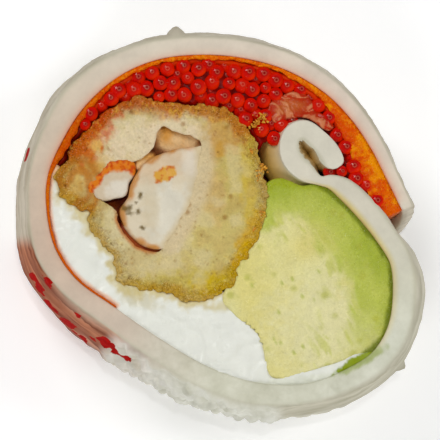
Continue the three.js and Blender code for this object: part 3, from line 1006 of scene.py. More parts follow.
class Finish(Nodes):
    """A node material for one kind of food, built up from masks and noise."""

    def __init__(self, name: str) -> None:
        """Starts an empty material of that name with a Principled shader.

        Args:
            name: its name.
        """
        self.material = bpy.data.materials.new(name)
        self.material.use_nodes = True
        super().__init__(self.material.node_tree)
        self.shader = self.tree.nodes["Principled BSDF"]

    def read(self, name: str, output: str = "Vector") -> Socket:
        """A colour or direction kept on the mesh."""
        return self.add("ShaderNodeAttribute", {}, attribute_name=name).outputs[output]

    def mask(self, name: str, strength: float = 1.0) -> Socket:
        """A number kept on the mesh, times a strength."""
        value = self.read(name, "Fac")
        return value if strength == 1 else self.math("MULTIPLY", value, strength)

    def effect(self, group: Effect, output: str, **inputs: float) -> Socket:
        """Places a shared effect with its own values and gives one of its outputs."""
        return self.add("ShaderNodeGroup", inputs, node_tree=group_tree(group)).outputs[output]

    def mottle(self, pitch: float, shift: float) -> Socket:
        """Soft mottling, from 0 to 1."""
        return self.effect(Effect.MOTTLE, "Value", Pitch=pitch, Shift=shift)

    def mix(self, share: object, under: object, over: object) -> Socket:
        """A colour between two others."""
        inputs = {0: share, 6: under, 7: over}
        return self.add("ShaderNodeMix", inputs, data_type="RGBA", clamp_factor=True).outputs[2]

    def coats(self, body: object, *coats: tuple[str, float, object]) -> Socket:
        """A colour with others laid over it, each by a mask of the mesh and a strength.

        Args:
            body: the colour that they lie on.
            coats: each coat's mask, strength and colour.

        Returns:
            The colour with its coats.
        """
        for name, strength, over in coats:
            body = self.mix(self.mask(name, strength), body, over)
        return body

    def shade(self, body: object, value: object, low: float, high: float) -> Socket:
        """A colour, made darker or lighter by a number from 0 to 1."""
        inputs = {0: 1.0, 6: body, 7: self.mix(value, (low,) * 3, (high,) * 3)}
        return self.add("ShaderNodeMix", inputs, data_type="RGBA", blend_type="MULTIPLY").outputs[2]

    def math(self, work: str, a: object, b: object = 0.0) -> Socket:
        """A sum of two numbers."""
        return self.add("ShaderNodeMath", {0: a, 1: b}, operation=work).outputs[0]

    def span(self, value: object, low: float, high: float, start: float = 0.0, end: float = 1.0) -> Socket:
        """A number eased from one span to another, and held inside it."""
        return self.ranged(value, low, high, start, end, kind="SMOOTHSTEP")

    def bump(self, height: object, depth: float, strength: float, **under: Socket) -> Socket:
        """A normal from a height in millimetres, over another normal if there is one."""
        inputs = {"Strength": strength, "Distance": depth * MM, "Height": height, **under}
        return self.add("ShaderNodeBump", inputs).outputs[0]

    def finish(self, colour: object, rough: object, shine: float, **sockets: object) -> Material:
        """Connects the shader.

        Args:
            colour: the base colour, linear.
            rough: its roughness.
            shine: its specular level.
            sockets: the shader's other inputs, with _ for a space.

        Returns:
            The finished material.
        """
        sockets |= {"Base Color": colour, "Roughness": rough, "Specular IOR Level": shine}
        for key, value in sockets.items():
            self.feed(self.shader.inputs[key.replace("_", " ")], value)
        self.shader.subsurface_method = "RANDOM_WALK"
        return self.material


@dataclass(frozen=True)
class Moist:
    """A moist finish: mottled flesh with a faint bump and a film of moisture."""

    name: str
    mottles: tuple[tuple[float, float, float, float], ...]  # pitch, shift, darkest, lightest
    bump: tuple[float, float, float, float]  # pitch, shift, depth, strength
    rough: float | tuple[float, float, float]  # one value, or a film's pitch, wettest and driest
    shine: float
    glow: float = 0.0  # how much light passes under its surface
    glow_radius: tuple[float, float, float] = (1.0, 0.95, 0.85)
    glow_scale: float = 0.0008

    def material(self) -> Material:
        """Makes the material.

        Returns:
            The material.
        """
        f = Finish(self.name)
        body = f.read("tint")
        for pitch, shift, low, high in self.mottles:
            body = f.shade(body, f.mottle(pitch, shift), low, high)
        rough = self.rough
        if isinstance(rough, tuple):
            pitch, wet, dry = rough
            rough = f.effect(Effect.WET, "Roughness", Pitch=pitch, Wet=wet, Dry=dry)
        sockets = {"Normal": f.bump(f.mottle(*self.bump[:2]), *self.bump[2:])}
        if self.glow:
            sockets |= {"Subsurface Weight": self.glow, "Subsurface Radius": self.glow_radius,
                        "Subsurface Scale": self.glow_scale}
        return f.finish(body, rough, self.shine, **sockets)


# ---------------------------------------------------------------- the squid sheet


@dataclass
class SquidSheet:
    """The white sheet that winds round the filling, with its skin on the outer wall."""

    stations: int = 660
    wall_rows: int = 30
    across: int = 12
    edge: float = 0.4
    sharp: float = 0.16  # radius of the hook's edges
    edge_turns: tuple[float, ...] = (25.0, 50.0, 75.0)  # degrees
    torn: float = 0.28  # raggedness of the hook's slit
    slit_closes: float = 0.85  # how far each of its sides comes in below the cut
    hook_flare: float = 2.9  # how far the hook's left side stands out below the cut
    bump_depth: float = 0.22
    bump_pitch: float = 5.0
    nubs: Spots = ((0.23, 22.4, 1.15), (0.585, 13, 1.0), (0.745, 13, 0.8))
    # Red blotches in the skin, by photo pixel and radius in millimetres.
    blotches: Spots = (
        (32, 277, 0.7), (39.5, 287, 0.95), (47, 282, 0.8), (44, 308, 0.8), (53, 314, 0.75), (68, 323, 1.15),
        (78, 315, 0.5), (80, 341, 0.8), (105, 345, 1.1), (123, 359, 0.8), (23, 153, 0.95), (59, 326, 0.6),
        (93, 340, 0.5), (115, 352, 0.6), (72, 334, 0.6),
    )
    # Colour along the sheet: share of its length, then shades.
    along: tuple[tuple[float, ...], ...] = (
        (0, 212, 202, 184), (0.1, 214, 200, 184), (0.25, 210, 200, 182), (0.36, 204, 188, 168),
        (0.44, 200, 178, 158), (0.52, 202, 186, 168), (0.6, 196, 194, 170), (0.75, 203, 204, 184),
        (0.86, 206, 200, 182), (1, 210, 205, 188))
    skin: Pixels = ((24, 262), (36, 290), (60, 322), (92, 343), (128, 362))
    froth: Pixels = ((126, 360), (165, 384), (210, 402), (255, 411))

    def profile(self) -> Array:
        """The ring of one section.

        Returns:
            Columns for its points, from the foot of the outer wall round: the part (1 or -1 for
            the inner or outer wall, 2 or -2 for its upper edge, 3 or -3 for its lower edge, 0 for
            the upper cut, 4 for the lower one), the share across or up, and the turn of a rounded
            edge in degrees.
        """
        up = [(u, 0.0) for u in np.linspace(0, 1, self.wall_rows)]
        flat = [(f, 90.0) for f in np.linspace(0, 1, self.across)]
        turns = [(0.0, a) for a in self.edge_turns]
        parts = {
            -1: up, -2: turns, 0: flat, 2: turns[::-1],
            1: up[::-1], 3: turns, 4: flat[::-1][::2], -3: turns[::-1],
        }
        return np.array([(part, *place) for part, places in parts.items() for place in places]).T

    def build(self) -> Object:
        """Makes the sheet's mesh with its masks.

        Returns:
            The sheet.
        """
        share = np.linspace(0, 1, self.stations)
        kind, place, lift = self.profile()
        n = len(kind)
        s = np.repeat(share, n)
        k, u, a = (np.tile(v, self.stations) for v in (kind, place, np.radians(lift)))
        middle, onward, inward, half = (np.repeat(v, n, axis=0) for v in LINE.at(share))
        radius = np.minimum(self.edge - (self.edge - self.sharp) * ease(0.88, 0.9, s), 0.6 * half)
        outer, inner = -half, half
        z = np.where(np.abs(k) == 1, radius + (SLICE - 2 * radius) * u, 0.0)
        z = np.where(np.abs(k) == 2, SLICE - radius + radius * np.sin(a), z)
        z = np.where(k == 0, SLICE, z)
        z = np.where(np.abs(k) == 3, radius - radius * np.sin(a), z)
        d = np.where(k == -1, outer, np.where(k == 1, inner, 0.0))
        d = np.where((k == -2) | (k == -3), outer + radius * (1 - np.cos(a)), d)
        d = np.where((k == 2) | (k == 3), inner - radius * (1 - np.cos(a)), d)
        flat = (k == 0) | (k == 4)
        d = np.where(flat, outer + radius + (2 * half - 2 * radius) * u, d)
        on_top = np.where(k == 0, 1.0, np.where(np.abs(k) == 2, np.sin(a), 0.0))
        on_outer = np.where(k == -1, 1.0, np.where((k == -2) | (k == -3), np.cos(a), 0.0))
        on_inner = np.where(k == 1, 1.0, np.where((k == 2) | (k == 3), np.cos(a), 0.0))
        across = np.clip((d - outer) / (2 * half), 0, 1)

        run = s * LINE.length
        broad = xyz(s * 170, 0, z) / self.bump_pitch
        coarse = self.bump_depth * lumps(broad, 31)
        fibres = layered(xyz(run * 0.22, z * 1.5, 0), 41, 3)
        ripple = layered(xyz(run * 0.5, z * 0.9, 0), 43, 4)
        plan0 = middle + inward * d[:, None]
        pixel = Eye().pixels(slump(np.column_stack([plan0, z])))
        skin_side = on_outer * ease(0.86, 0.83, s)
        froth = ease(34, 14, self.off_line(pixel, self.froth)) * skin_side
        heading = np.degrees(np.arctan2(plan0[:, 1], plan0[:, 0]))
        below = ease(-40, -60, heading) * ease(-150, -120, heading) * ease(16, 8, z)
        froth = np.maximum(froth, 0.45 * skin_side * below)
        bubbles, _ = cells(xyz(run * 0.5, z * 0.62, d * 0.5), 5)
        lumpy = 1.1 * ease(0.75, 0.1, bubbles) + 0.2 * ripple
        ragged = layered(xyz(run * 1.7, z * 0.5, 0), 44, 2)
        out = coarse + skin_side * (0.10 * fibres + 0.09 * ripple + 0.08 * ragged * ease(16, 24, z))
        out += 0.6 * skin_side * ease(14, 2, z) * ease(0.56, 0.64, s)
        out -= froth * lumpy * ease(0, 4, z)
        depth = SLICE - z
        hook = ease(0.9, 0.92, s) * on_outer
        hook_left = on_inner * ease(0.905, 0.922, s) * ease(0.965, 0.948, s)
        torn = self.torn * layered(xyz(run * 1.2, z * 0.3, 0), 3, 3)
        out -= hook * (0.6 * torn + self.slit_closes * ease(0.6, 3.5, depth))
        d = d + out * on_outer + hook_left * self.hook_flare * ease(0.3, 4.2, depth)
        wave = layered(xyz(run * 0.28, across * 1.5, 0), 51, 3)
        fine = layered(xyz(run * 1.5, across * 4.5, 0), 52, 2)
        wet_side = ease(0.52, 0.56, s) * ease(0.80, 0.74, s)
        z = z + on_top * (0.07 * wave + (0.015 + 0.075 * wet_side) * fine)
        end_round = np.clip(1 - run / 0.35, 0, 1) ** 2
        mid = (outer + inner) / 2
        d = mid + (d - mid) * (1 - 0.12 * end_round)
        flat_place = middle + inward * (d + TUCK_INWARD * tuck(s, z))[:, None]
        flat_place -= onward * (TUCK_ONWARD * tuck(s, z))[:, None]
        points = slump(np.column_stack([flat_place, z]))
        points[:, 2] = np.maximum(points[:, 2], 0)
        points = self.with_nubs(points, on_outer)

        angle = np.degrees(np.arctan2(points[:, 1], points[:, 0]))
        pixel = Eye().pixels(points)
        paste = np.interp(s, PASTE[:, 0], PASTE[:, 1], right=0)
        stain = np.exp(-(half - d) / 0.5) * np.clip(paste * 1.4, 0, 1) * np.maximum(on_top, on_inner)
        stain *= ease(0.002, 0.012, s)
        skin = ease(30, 12, self.off_line(pixel, self.skin)) * ease(0.15, 0.6, skin_side)
        skin = np.maximum(skin, 0.5 * skin_side * ease(-165, -150, angle) * ease(-100, -118, angle))
        masks = {
            "outer": skin_side,
            "stain": stain,
            "skin": skin * ease(0.02, 0.1, s),
            "blotch": self.blotch_mask(points, pixel, on_outer),
            "froth": np.maximum(froth, wet_side * 0.35 * on_top),
            "fibre": np.clip(0.5 + 0.55 * fibres, 0, 1),
            "tint": self.tint(s, across, on_top, on_inner, np.maximum(hook, hook_left), depth, plan0),
        }
        return mesh_object("squid_sheet_flesh", points, self.faces(n), masks)

    def tint(
        self, s: Array, across: Array, on_top: Array, on_inner: Array, hook: Array, depth: Array, xy: Array
    ) -> Array:
        """Colour of the flesh, with painted bounce light beside the avocado and painted shade down the hook.

        Args:
            s: share of the sheet's length.
            across: place through the sheet, from 0 outside to 1 inside.
            on_top: how much each point belongs to the upper cut.
            on_inner: how much it belongs to the inner wall.
            hook: how much it belongs to the hook's slit or left side, where light and shade are painted by
                depth.
            depth: depth below the upper cut.
            xy: plan points.

        Returns:
            A linear colour for each point.
        """
        shares, *shades = np.array(self.along).T
        tint = linear(np.column_stack([np.interp(s, shares, shade) for shade in shades]))
        avocado_bounce = (0.6 * ease(0.7, 0.72, s) + 0.4 * ease(0.78, 0.86, s)) * ease(0.925, 0.89, s)
        rim = np.maximum(on_inner, on_top * ease(0.66, 0.95, across))
        return coated(
            tint,
            ((180, 176, 152), 0.8 * ease(0.24, 0.02, across) * on_top),
            # painted bounce light: yellow on the sheet's inner rim and tan on its inner wall beside the
            # avocado
            ((200, 180, 96), 0.85 * rim * avocado_bounce),
            ((178, 138, 66), 0.7 * on_inner * avocado_bounce),
            (SMEAR.colour, np.maximum(on_top, on_inner) * SMEAR.patch.mask(xy, 0.5, 0.2)),
            # painted bounce light and shade: the hook's slit and left wall turn tan, then yellow-brown, then
            # dark brown with depth below the cut
            ((212, 186, 132), 0.9 * hook * ease(0.1, 1.4, depth)),
            ((196, 156, 66), 0.9 * hook * ease(1.0, 3.0, depth)),
            ((96, 46, 2), hook * ease(3.0, 7.0, depth)),
        )

    def faces(self, n: int) -> list[tuple[int, ...]]:
        """The faces between the sections, with both ends closed wall to wall.

        Args:
            n: points of one section.

        Returns:
            The corners of each face.
        """
        faces = strip_faces(self.stations, n)
        rows = self.wall_rows
        top = n - (self.across + 1) // 2 - 6 - rows
        down = top + rows
        last = (self.stations - 1) * n
        for r in range(rows - 1):
            outer, inner = r, down - 1 - r
            faces.append((outer, outer + 1, inner - 1, inner))
            faces.append((last + inner, last + inner - 1, last + outer + 1, last + outer))
        over = list(range(rows - 1, top + 1))
        under = [*range(down - 1, n), 0]
        faces += [tuple(over), tuple(under)]
        faces += [tuple(last + v for v in over[::-1]), tuple(last + v for v in under[::-1])]
        return faces

    @staticmethod
    def off_line(pixel: Array, knots: Pixels) -> Array:
        """Distance in the photo, in pixels, from a smooth line."""
        return distance(pixel, spaced(smooth_curve(np.array(knots), False), 2.0, False), False)

    def with_nubs(self, points: Array, on_outer: Array) -> Array:
        """Pushes small nubs of flesh out of the outer wall.

        Args:
            points: the sheet's points.
            on_outer: how much each point belongs to the outer wall.

        Returns:
            The new points.
        """
        for at, z, radius in self.nubs:
            middle, _, inward, half = LINE.at(np.array([at]))
            foot = slump(np.column_stack([middle - inward * half[:, None], [z]]))[0]
            away = np.linalg.norm(points - foot, axis=1)
            near = on_outer * np.clip(1 - (away / (1.25 * radius)) ** 2, 0, 1) ** 0.6
            near *= 1 + 0.25 * lumps(points * 1.6, 3)
            points = points - np.append(inward[0], 0) * (near * radius * 0.95)[:, None]
        return points

    def blotch_mask(self, points: Array, pixel: Array, on_outer: Array) -> Array:
        """Where the skin's red blotches lie.

        Args:
            points: the sheet's points.
            pixel: where they show in the photo.
            on_outer: how much each belongs to the outer wall.

        Returns:
            The mask.
        """
        result = np.zeros(len(points))
        wall = np.flatnonzero(on_outer > 0.7)
        ragged = 0.35 * layered(points * 1.1, 61, 3)
        for x, y, radius in self.blotches:
            away = np.linalg.norm(pixel[wall] - (x, y), axis=1) + 0.6 * (SLICE - points[wall, 2])
            centre = points[wall[away.argmin()]]
            stretch = np.array([1.0, 1.0, 0.62])
            reach = np.linalg.norm((points - centre) * stretch, axis=1) / (1.35 * radius) + ragged
            result = np.maximum(result, ease(1.1, 0.75, reach) * (on_outer > 0.4))
        return result

    def dress(self) -> Material:
        """The flesh: wet white, with skin and stains.

        Returns:
            The material.
        """
        f = Finish("squid_flesh")
        cloud, fine = f.mottle(0.28, 1.0), f.mottle(1.4, 2.0)
        wall = f.mix(f.mask("fibre"), srgb(146, 138, 116), srgb(196, 190, 172))
        skin = f.mix(f.mask("fibre"), srgb(112, 44, 16), srgb(184, 114, 78))
        froth = f.mix(cloud, srgb(196, 196, 176), srgb(242, 242, 234))
        flesh = f.coats(
            f.shade(f.read("tint"), cloud, 0.9, 1.08), ("outer", 0.7, wall),
            ("stain", 0.7, srgb(214, 100, 30)), ("skin", 0.95, skin), ("froth", 0.8, froth))
        on_blotch = f.span(f.mask("blotch"), 0.3, 0.55)
        flesh = f.mix(on_blotch, flesh, f.mix(fine, srgb(132, 0, 0), srgb(184, 8, 0)))
        rough = f.math("ADD", f.span(f.mask("froth"), 0.0, 0.5, 0.46, 0.14), f.mask("outer", 0.35))
        rough = f.math("MAXIMUM", rough, on_blotch)
        return f.finish(flesh, rough, 0.13, Normal=f.bump(fine, 0.06, 0.6))


# ---------------------------------------------------------------- the orange layer


@dataclass
class OrangePaste:
    """The thin layer of very fine orange roe between the sheet and the red roe."""

    stations: int = 620
    across: int = 13
    rows: int = 9
    lowered: float = 0.28
    outer_end: float = 0.9  # how much more it spreads towards the outer end

    def build(self) -> Object:
        """Makes the layer's mesh.

        Returns:
            The layer.
        """
        share = np.linspace(0.0006, PASTE[-1, 0], self.stations)
        up = np.linspace(0, 1, self.rows)
        flat = np.linspace(0, 1, self.across)[1:-1]
        ring = [(0.0, u) for u in up] + [(f, 1.0) for f in flat] + [(1.0, u) for u in up[::-1]]
        ring += [(f, 0.0) for f in flat[::-1]]
        c, u = np.array(ring).T
        n = len(ring)
        s = np.repeat(share, n)
        c, u = np.tile(c, self.stations), np.tile(u, self.stations)
        middle, _, inward, half = (np.repeat(v, n, axis=0) for v in LINE.at(share))
        run = s * LINE.length
        thick = np.interp(s, *PASTE.T) + 0.05 + 0.15 * ease(0.39, 0.36, s)
        thick += self.outer_end * ease(0.11, 0.06, s)
        thick = thick * np.clip(0.3 + (PASTE[-1, 0] - s) / 0.006, 0, 1) ** 0.5
        edge = (0.06 + 0.12 * ease(0.4, 0.36, s)) * layered(xyz(run * 0.9, 0, u * 2), 71, 3)
        d = half - 0.06 + c * (thick + 0.06 + edge)
        grain, _ = cells(xyz(run, d, u * 24) * 2.6, 72)
        wave = layered(xyz(run * 0.35, c, 0), 73, 3)
        top = SLICE - self.lowered * ease(0.41, 0.36, s) + 0.13 * wave * ease(0.42, 0.36, s)
        top += 0.30 * (0.5 - grain) * np.clip(thick / 0.8, 0.4, 1)
        top -= 0.22 * ease(0.25, 0.0, np.minimum(c, 1 - c)) * np.clip(thick, 0, 1)
        z = np.where(u == 1, top, FOOT + (top - FOOT) * u)
        place = middle + inward * (d + TUCK_INWARD * tuck(s, z) * (c < 0.5))[:, None]
        points = slump(np.column_stack([place, z]))
        faces = strip_faces(self.stations, n)
        faces += [tuple(range(n)), tuple((self.stations - 1) * n + v for v in range(n - 1, -1, -1))]
        deep = np.clip(c + 0.25 * wave, 0, 1)
        strokes = layered(xyz(run * 0.5, c * 1.6, 0), 74, 3)
        masks = {
            "deep": deep * ease(0.35, 1.6, thick),
            "left": ease(0.29, 0.34, s),
            "hem": ease(0.405, 0.43, s),
            "gold": ease(0.0, 0.5, strokes) * ease(0.14, 0.11, s),
        }
        return mesh_object("orange_paste_layer", points, faces, masks)

    def dress(self) -> Material:
        """Moist, grainy orange.

        Returns:
            The material.
        """
        f = Finish("fine_orange_roe")
        grains = f.effect(Effect.GRAIN, "Grains", Pitch=3.2)
        height = f.effect(Effect.GRAIN, "Height", Pitch=3.2)
        body = f.mix(f.mottle(0.7, 3.0), srgb(214, 76, 0), srgb(228, 120, 0))
        body = f.mix(f.math("MULTIPLY", grains, 0.5), body, srgb(236, 160, 20))
        body = f.coats(
            body, ("deep", 0.85, srgb(206, 36, 0)), ("gold", 0.8, srgb(236, 150, 4)),
            ("left", 0.4, srgb(172, 74, 0)), ("hem", 0.75, srgb(200, 84, 2)))
        return f.finish(body, 0.24, 0.07, Normal=f.bump(height, 0.16, 0.9))


# ---------------------------------------------------------------- fillings cut from a plan


@dataclass
class Filling:
    """A filling that stands on an outline, cut back from its neighbours."""

    name: str = ""
    slot: str = ""
    nodes: tuple[str, ...] = ()
    pitch: float = 0.3
    levels: int = 14
    rough: float = 0.15
    seed: float = 1.0
    sunk: float = 0.3  # how far its cut lies below the sheet's
    edge: float = 0.35  # radius of its rim
    finish: Moist | None = None

    def region(self) -> Region:
        """The filling's region of the plan."""
        raise NotImplementedError

    def top(self, xy: Array, away: Array) -> Array:
        """Height of the upper cut, from the plan place and the distance from the rim."""
        raise NotImplementedError

    def masks(self, block: Block) -> dict[str, Array]:
        """Numbers that the material reads from the mesh."""
        raise NotImplementedError

    def dress(self) -> Material:
        """The filling's material."""
        return self.finish.material()

    def build(self) -> Object:
        """Makes the filling's mesh: both cuts and the wall between them.

        Returns:
            The filling.
        """
        region = self.region()
        away = region.rim_distance()
        top = self.top(region.points, away)
        low = FOOT + (SLICE - self.top(region.points * [1, -1], away)) * 0.6
        block = Block.raise_from(region, top, np.maximum(low, FOOT), self.levels, self.rough, self.seed)
        return mesh_object(self.name, block.points, block.faces, self.masks(block))


@dataclass
class Avocado(Filling):
    """A wedge of ripe avocado, yellow inside and green towards its skin side."""

    name: str = "avocado_wedge"
    slot: str = "avocado"
    nodes: tuple[str, ...] = ("avocado",)
    pitch: float = 0.28
    edge: float = 0.16
    finish: Moist = Moist(
        "avocado_flesh", ((2.2, 6.0, 0.95, 1.05), (0.5, 5.0, 0.93, 1.05)), (2.2, 6.0, 0.14, 0.9),
        (1.1, 0.12, 0.5), 0.3)
    skin_side: Pixels = (
        (262, 186), (282, 180), (318, 184), (345, 203), (364, 222), (379, 243), (392, 262), (398, 286),
        (398, 310), (390, 340), (381, 352))
    top_edge: Pixels = ((264, 186), (282, 181), (305, 186), (325, 186))

    def region(self) -> Region:
        """The wedge, cut back from the sheet and the batter."""
        return Region.cut(AVOCADO_RING, [LINE.sheet_ring(-0.4), BATTER_INSET], self.pitch, 5)

    def top(self, xy: Array, away: Array) -> Array:
        """A nearly flat knife cut, with shallow dents.

        Args:
            xy: plan points.
            away: their distances from the rim.

        Returns:
            The heights.
        """
        z = SLICE - self.sunk + 0.012 * (15 - xy[:, 0]) + 0.06 * uneven(xy, 0.3, 81, 2)
        dent = self.dents(xy, 0.32, 0.12)
        return z + 0.05 * self.streaks(xy) - 0.07 * dent - round_edge(away, self.edge) - under_batter(xy)

    def streaks(self, xy: Array) -> Array:
        """Strokes that run from the top towards the lower right."""
        along, over = xy @ [0.42, -0.91], xy @ [0.91, 0.42] + 1.5 * uneven(xy, 0.15, 86, 2)
        return layered(xyz(along * 0.3, over * 1.0, 0), 82, 4)

    def dents(self, xy: Array, wide: float, narrow: float) -> Array:
        """Small round dents, from 0 to 1 between two distances from their middles."""
        away, mark = cells(flat3(xy, 0.42), 83)
        return ease(wide, narrow, away) * (mark > 0.55)

    def masks(self, block: Block) -> dict[str, Array]:
        """Its colours.

        Args:
            block: the filling's block.

        Returns:
            The masks by name.
        """
        xy = block.plan
        streak = self.streaks(xy)
        away = to_path(xy, self.skin_side)
        drift = 1.5 * uneven(xy, 0.2, 84) + 1.4 * streak
        fade = 0.35 + 0.65 * ease(-20, -12, xy[:, 1])
        pale = np.clip(0.5 + 0.9 * uneven(xy, 0.13, 87), 0, 1)
        fleck, mark = cells(xyz(xy @ [0.42, -0.91] * 0.5, xy @ [0.91, 0.42] * 0.9, 0), 88)
        by_sheet = distance(xy, LINE.sheet_ring(0)) + 0.3 * streak
        return {"tint": coated(
            plain((219, 208, 128), xy),
            ((223, 217, 154), pale),
            ((224, 218, 166), 0.85 * Patch((325, 325), (55, 45)).mask(xy, 1.2)),
            ((186, 190, 74), 0.7 * ease(0.1, 0.8, streak) * ease(15, 6, away)),
            ((182, 190, 80), fade * ease(7.5, 4.0, away + drift)),
            ((162, 175, 54), fade * ease(4.0, 0.4, away + 0.7 * drift)),
            ((176, 178, 66), 0.6 * self.dents(xy, 0.36, 0.1)),
            ((166, 176, 62), 0.7 * ease(0.3, 0.1, fleck) * (mark > 0.72)),
            ((150, 162, 12), 0.8 * ease(1.3, 0.3, to_path(xy, self.top_edge) + 0.5 * streak)),
            ((104, 116, 0), 0.9 * ease(0.95, 0.3, by_sheet)),
        )}


# Avocado smeared over the cheese and the sheet's edge.
SMEAR = Wash((136, 152, 14), Patch((361, 360), (29, 6), 29), 1.0, 0.4, 0.3)


@dataclass
class Cheese(Filling):
    """Soft white cheese that fills the roll's left and lower side."""

    name: str = "soft_cheese"
    slot: str = "cheese"
    nodes: tuple[str, ...] = ("cheese",)
    pitch: float = 0.3
    rough: float = 0.2
    sunk: float = 0.42
    finish: Moist = Moist(
        "white_cheese", ((0.3, 8.0, 0.96, 1.04),), (1.6, 9.0, 0.03, 0.4), (0.5, 0.25, 0.55), 0.4, 0.15)
    washes: tuple[Wash, ...] = (
        Wash((214, 216, 196), Patch((300, 380), (60, 5), 6), 0.6),
        SMEAR,
        Wash((198, 190, 156), Patch((140, 298), (22, 9), -20), 0.6),
        Wash((200, 184, 110), Patch((238, 302), (26, 6), 10), 0.6),
    )

    def region(self) -> Region:
        """The cheese, cut back from all it touches.

        Returns:
            The region.
        """
        ring = outline(CHEESE, 0.3, 0.1, 0.1, 2.5)
        cuts = [LINE.sheet_ring(-0.4), LINE.paste_ring(-0.25), BATTER_INSET, AVOCADO_INSET]
        return Region.cut(ring, cuts, self.pitch, 6)

    def top(self, xy: Array, away: Array) -> Array:
        """Smeared folds left by a knife.

        Args:
            xy: plan points.
            away: their distances from the rim.

        Returns:
            The heights.
        """
        bend = np.column_stack([uneven(xy, 0.16, 91, 2), uneven(xy, 0.16, 92, 2)]) * 3.2
        fold = uneven(xy + bend, 0.33, 93)
        ridge = 1 - np.abs(uneven(xy + bend, 0.22, 94, 2)) * 2.2
        z = SLICE - self.sunk + 0.26 * fold + 0.16 * np.clip(ridge, 0, 1)
        return z + 0.05 * uneven(xy, 1.7, 95, 2) - round_edge(away, self.edge) - under_batter(xy)

    def masks(self, block: Block) -> dict[str, Array]:
        """Its white, tinted by its neighbours.

        Args:
            block: the filling's block.

        Returns:
            The masks by name.
        """
        xy = block.plan
        crumbly = distance(xy, BATTER_RING) + 0.7 * uneven(xy, 0.9, 54)
        return {"tint": coated(
            washed(xy, plain((226, 227, 217), xy), self.washes),
            ((200, 182, 116), 0.8 * ease(1.5, 0.2, crumbly)),
            ((224, 150, 96), 0.7 * ease(0.6, 0.0, distance(xy, LINE.paste_ring(0.0)))),
        )}


AVOCADO_RING = toothed(outline(AVOCADO, 0.18, 0.12, 0.06, 2.0), Patch((252, 334), (15, 17)), 0.85, 0.6)
AVOCADO_INSET = outline(AVOCADO, 0.25, -0.3, 0.06, 2.0)
BATTER_RING = outline(BATTER, 0.22, 0.1, 0.4, 0.9)
BATTER_INSET = outline(BATTER, 0.22, -0.5, 0.4, 0.9)
TUNNEL_RING = outline(TUNNEL, 0.22, 0.0, 0.14, 0.9)

# The seam between prawn and batter, by pixel.
JOINED = ((203, 148), (204, 170), (198, 195), (189, 216), (180, 232), (170, 246))


def seam(xy: Array, reach: float = 1.5) -> Array:
    """How near points are to the seam where prawn and batter meet without a gap."""
    return ease(reach, 0.25 * reach, to_path(xy, JOINED))


def under_batter(xy: Array) -> Array:
    """How far the batter's neighbours sink where they reach in under it."""
    return np.minimum(1.0, 2.5 * distance(xy, BATTER_RING)) * inside(xy, BATTER_RING)


def joint_height(xy: Array) -> Array:
    """Height of the upper cut along that seam."""
    return SLICE - 0.12 + 0.14 * uneven(xy, 0.8, 31)


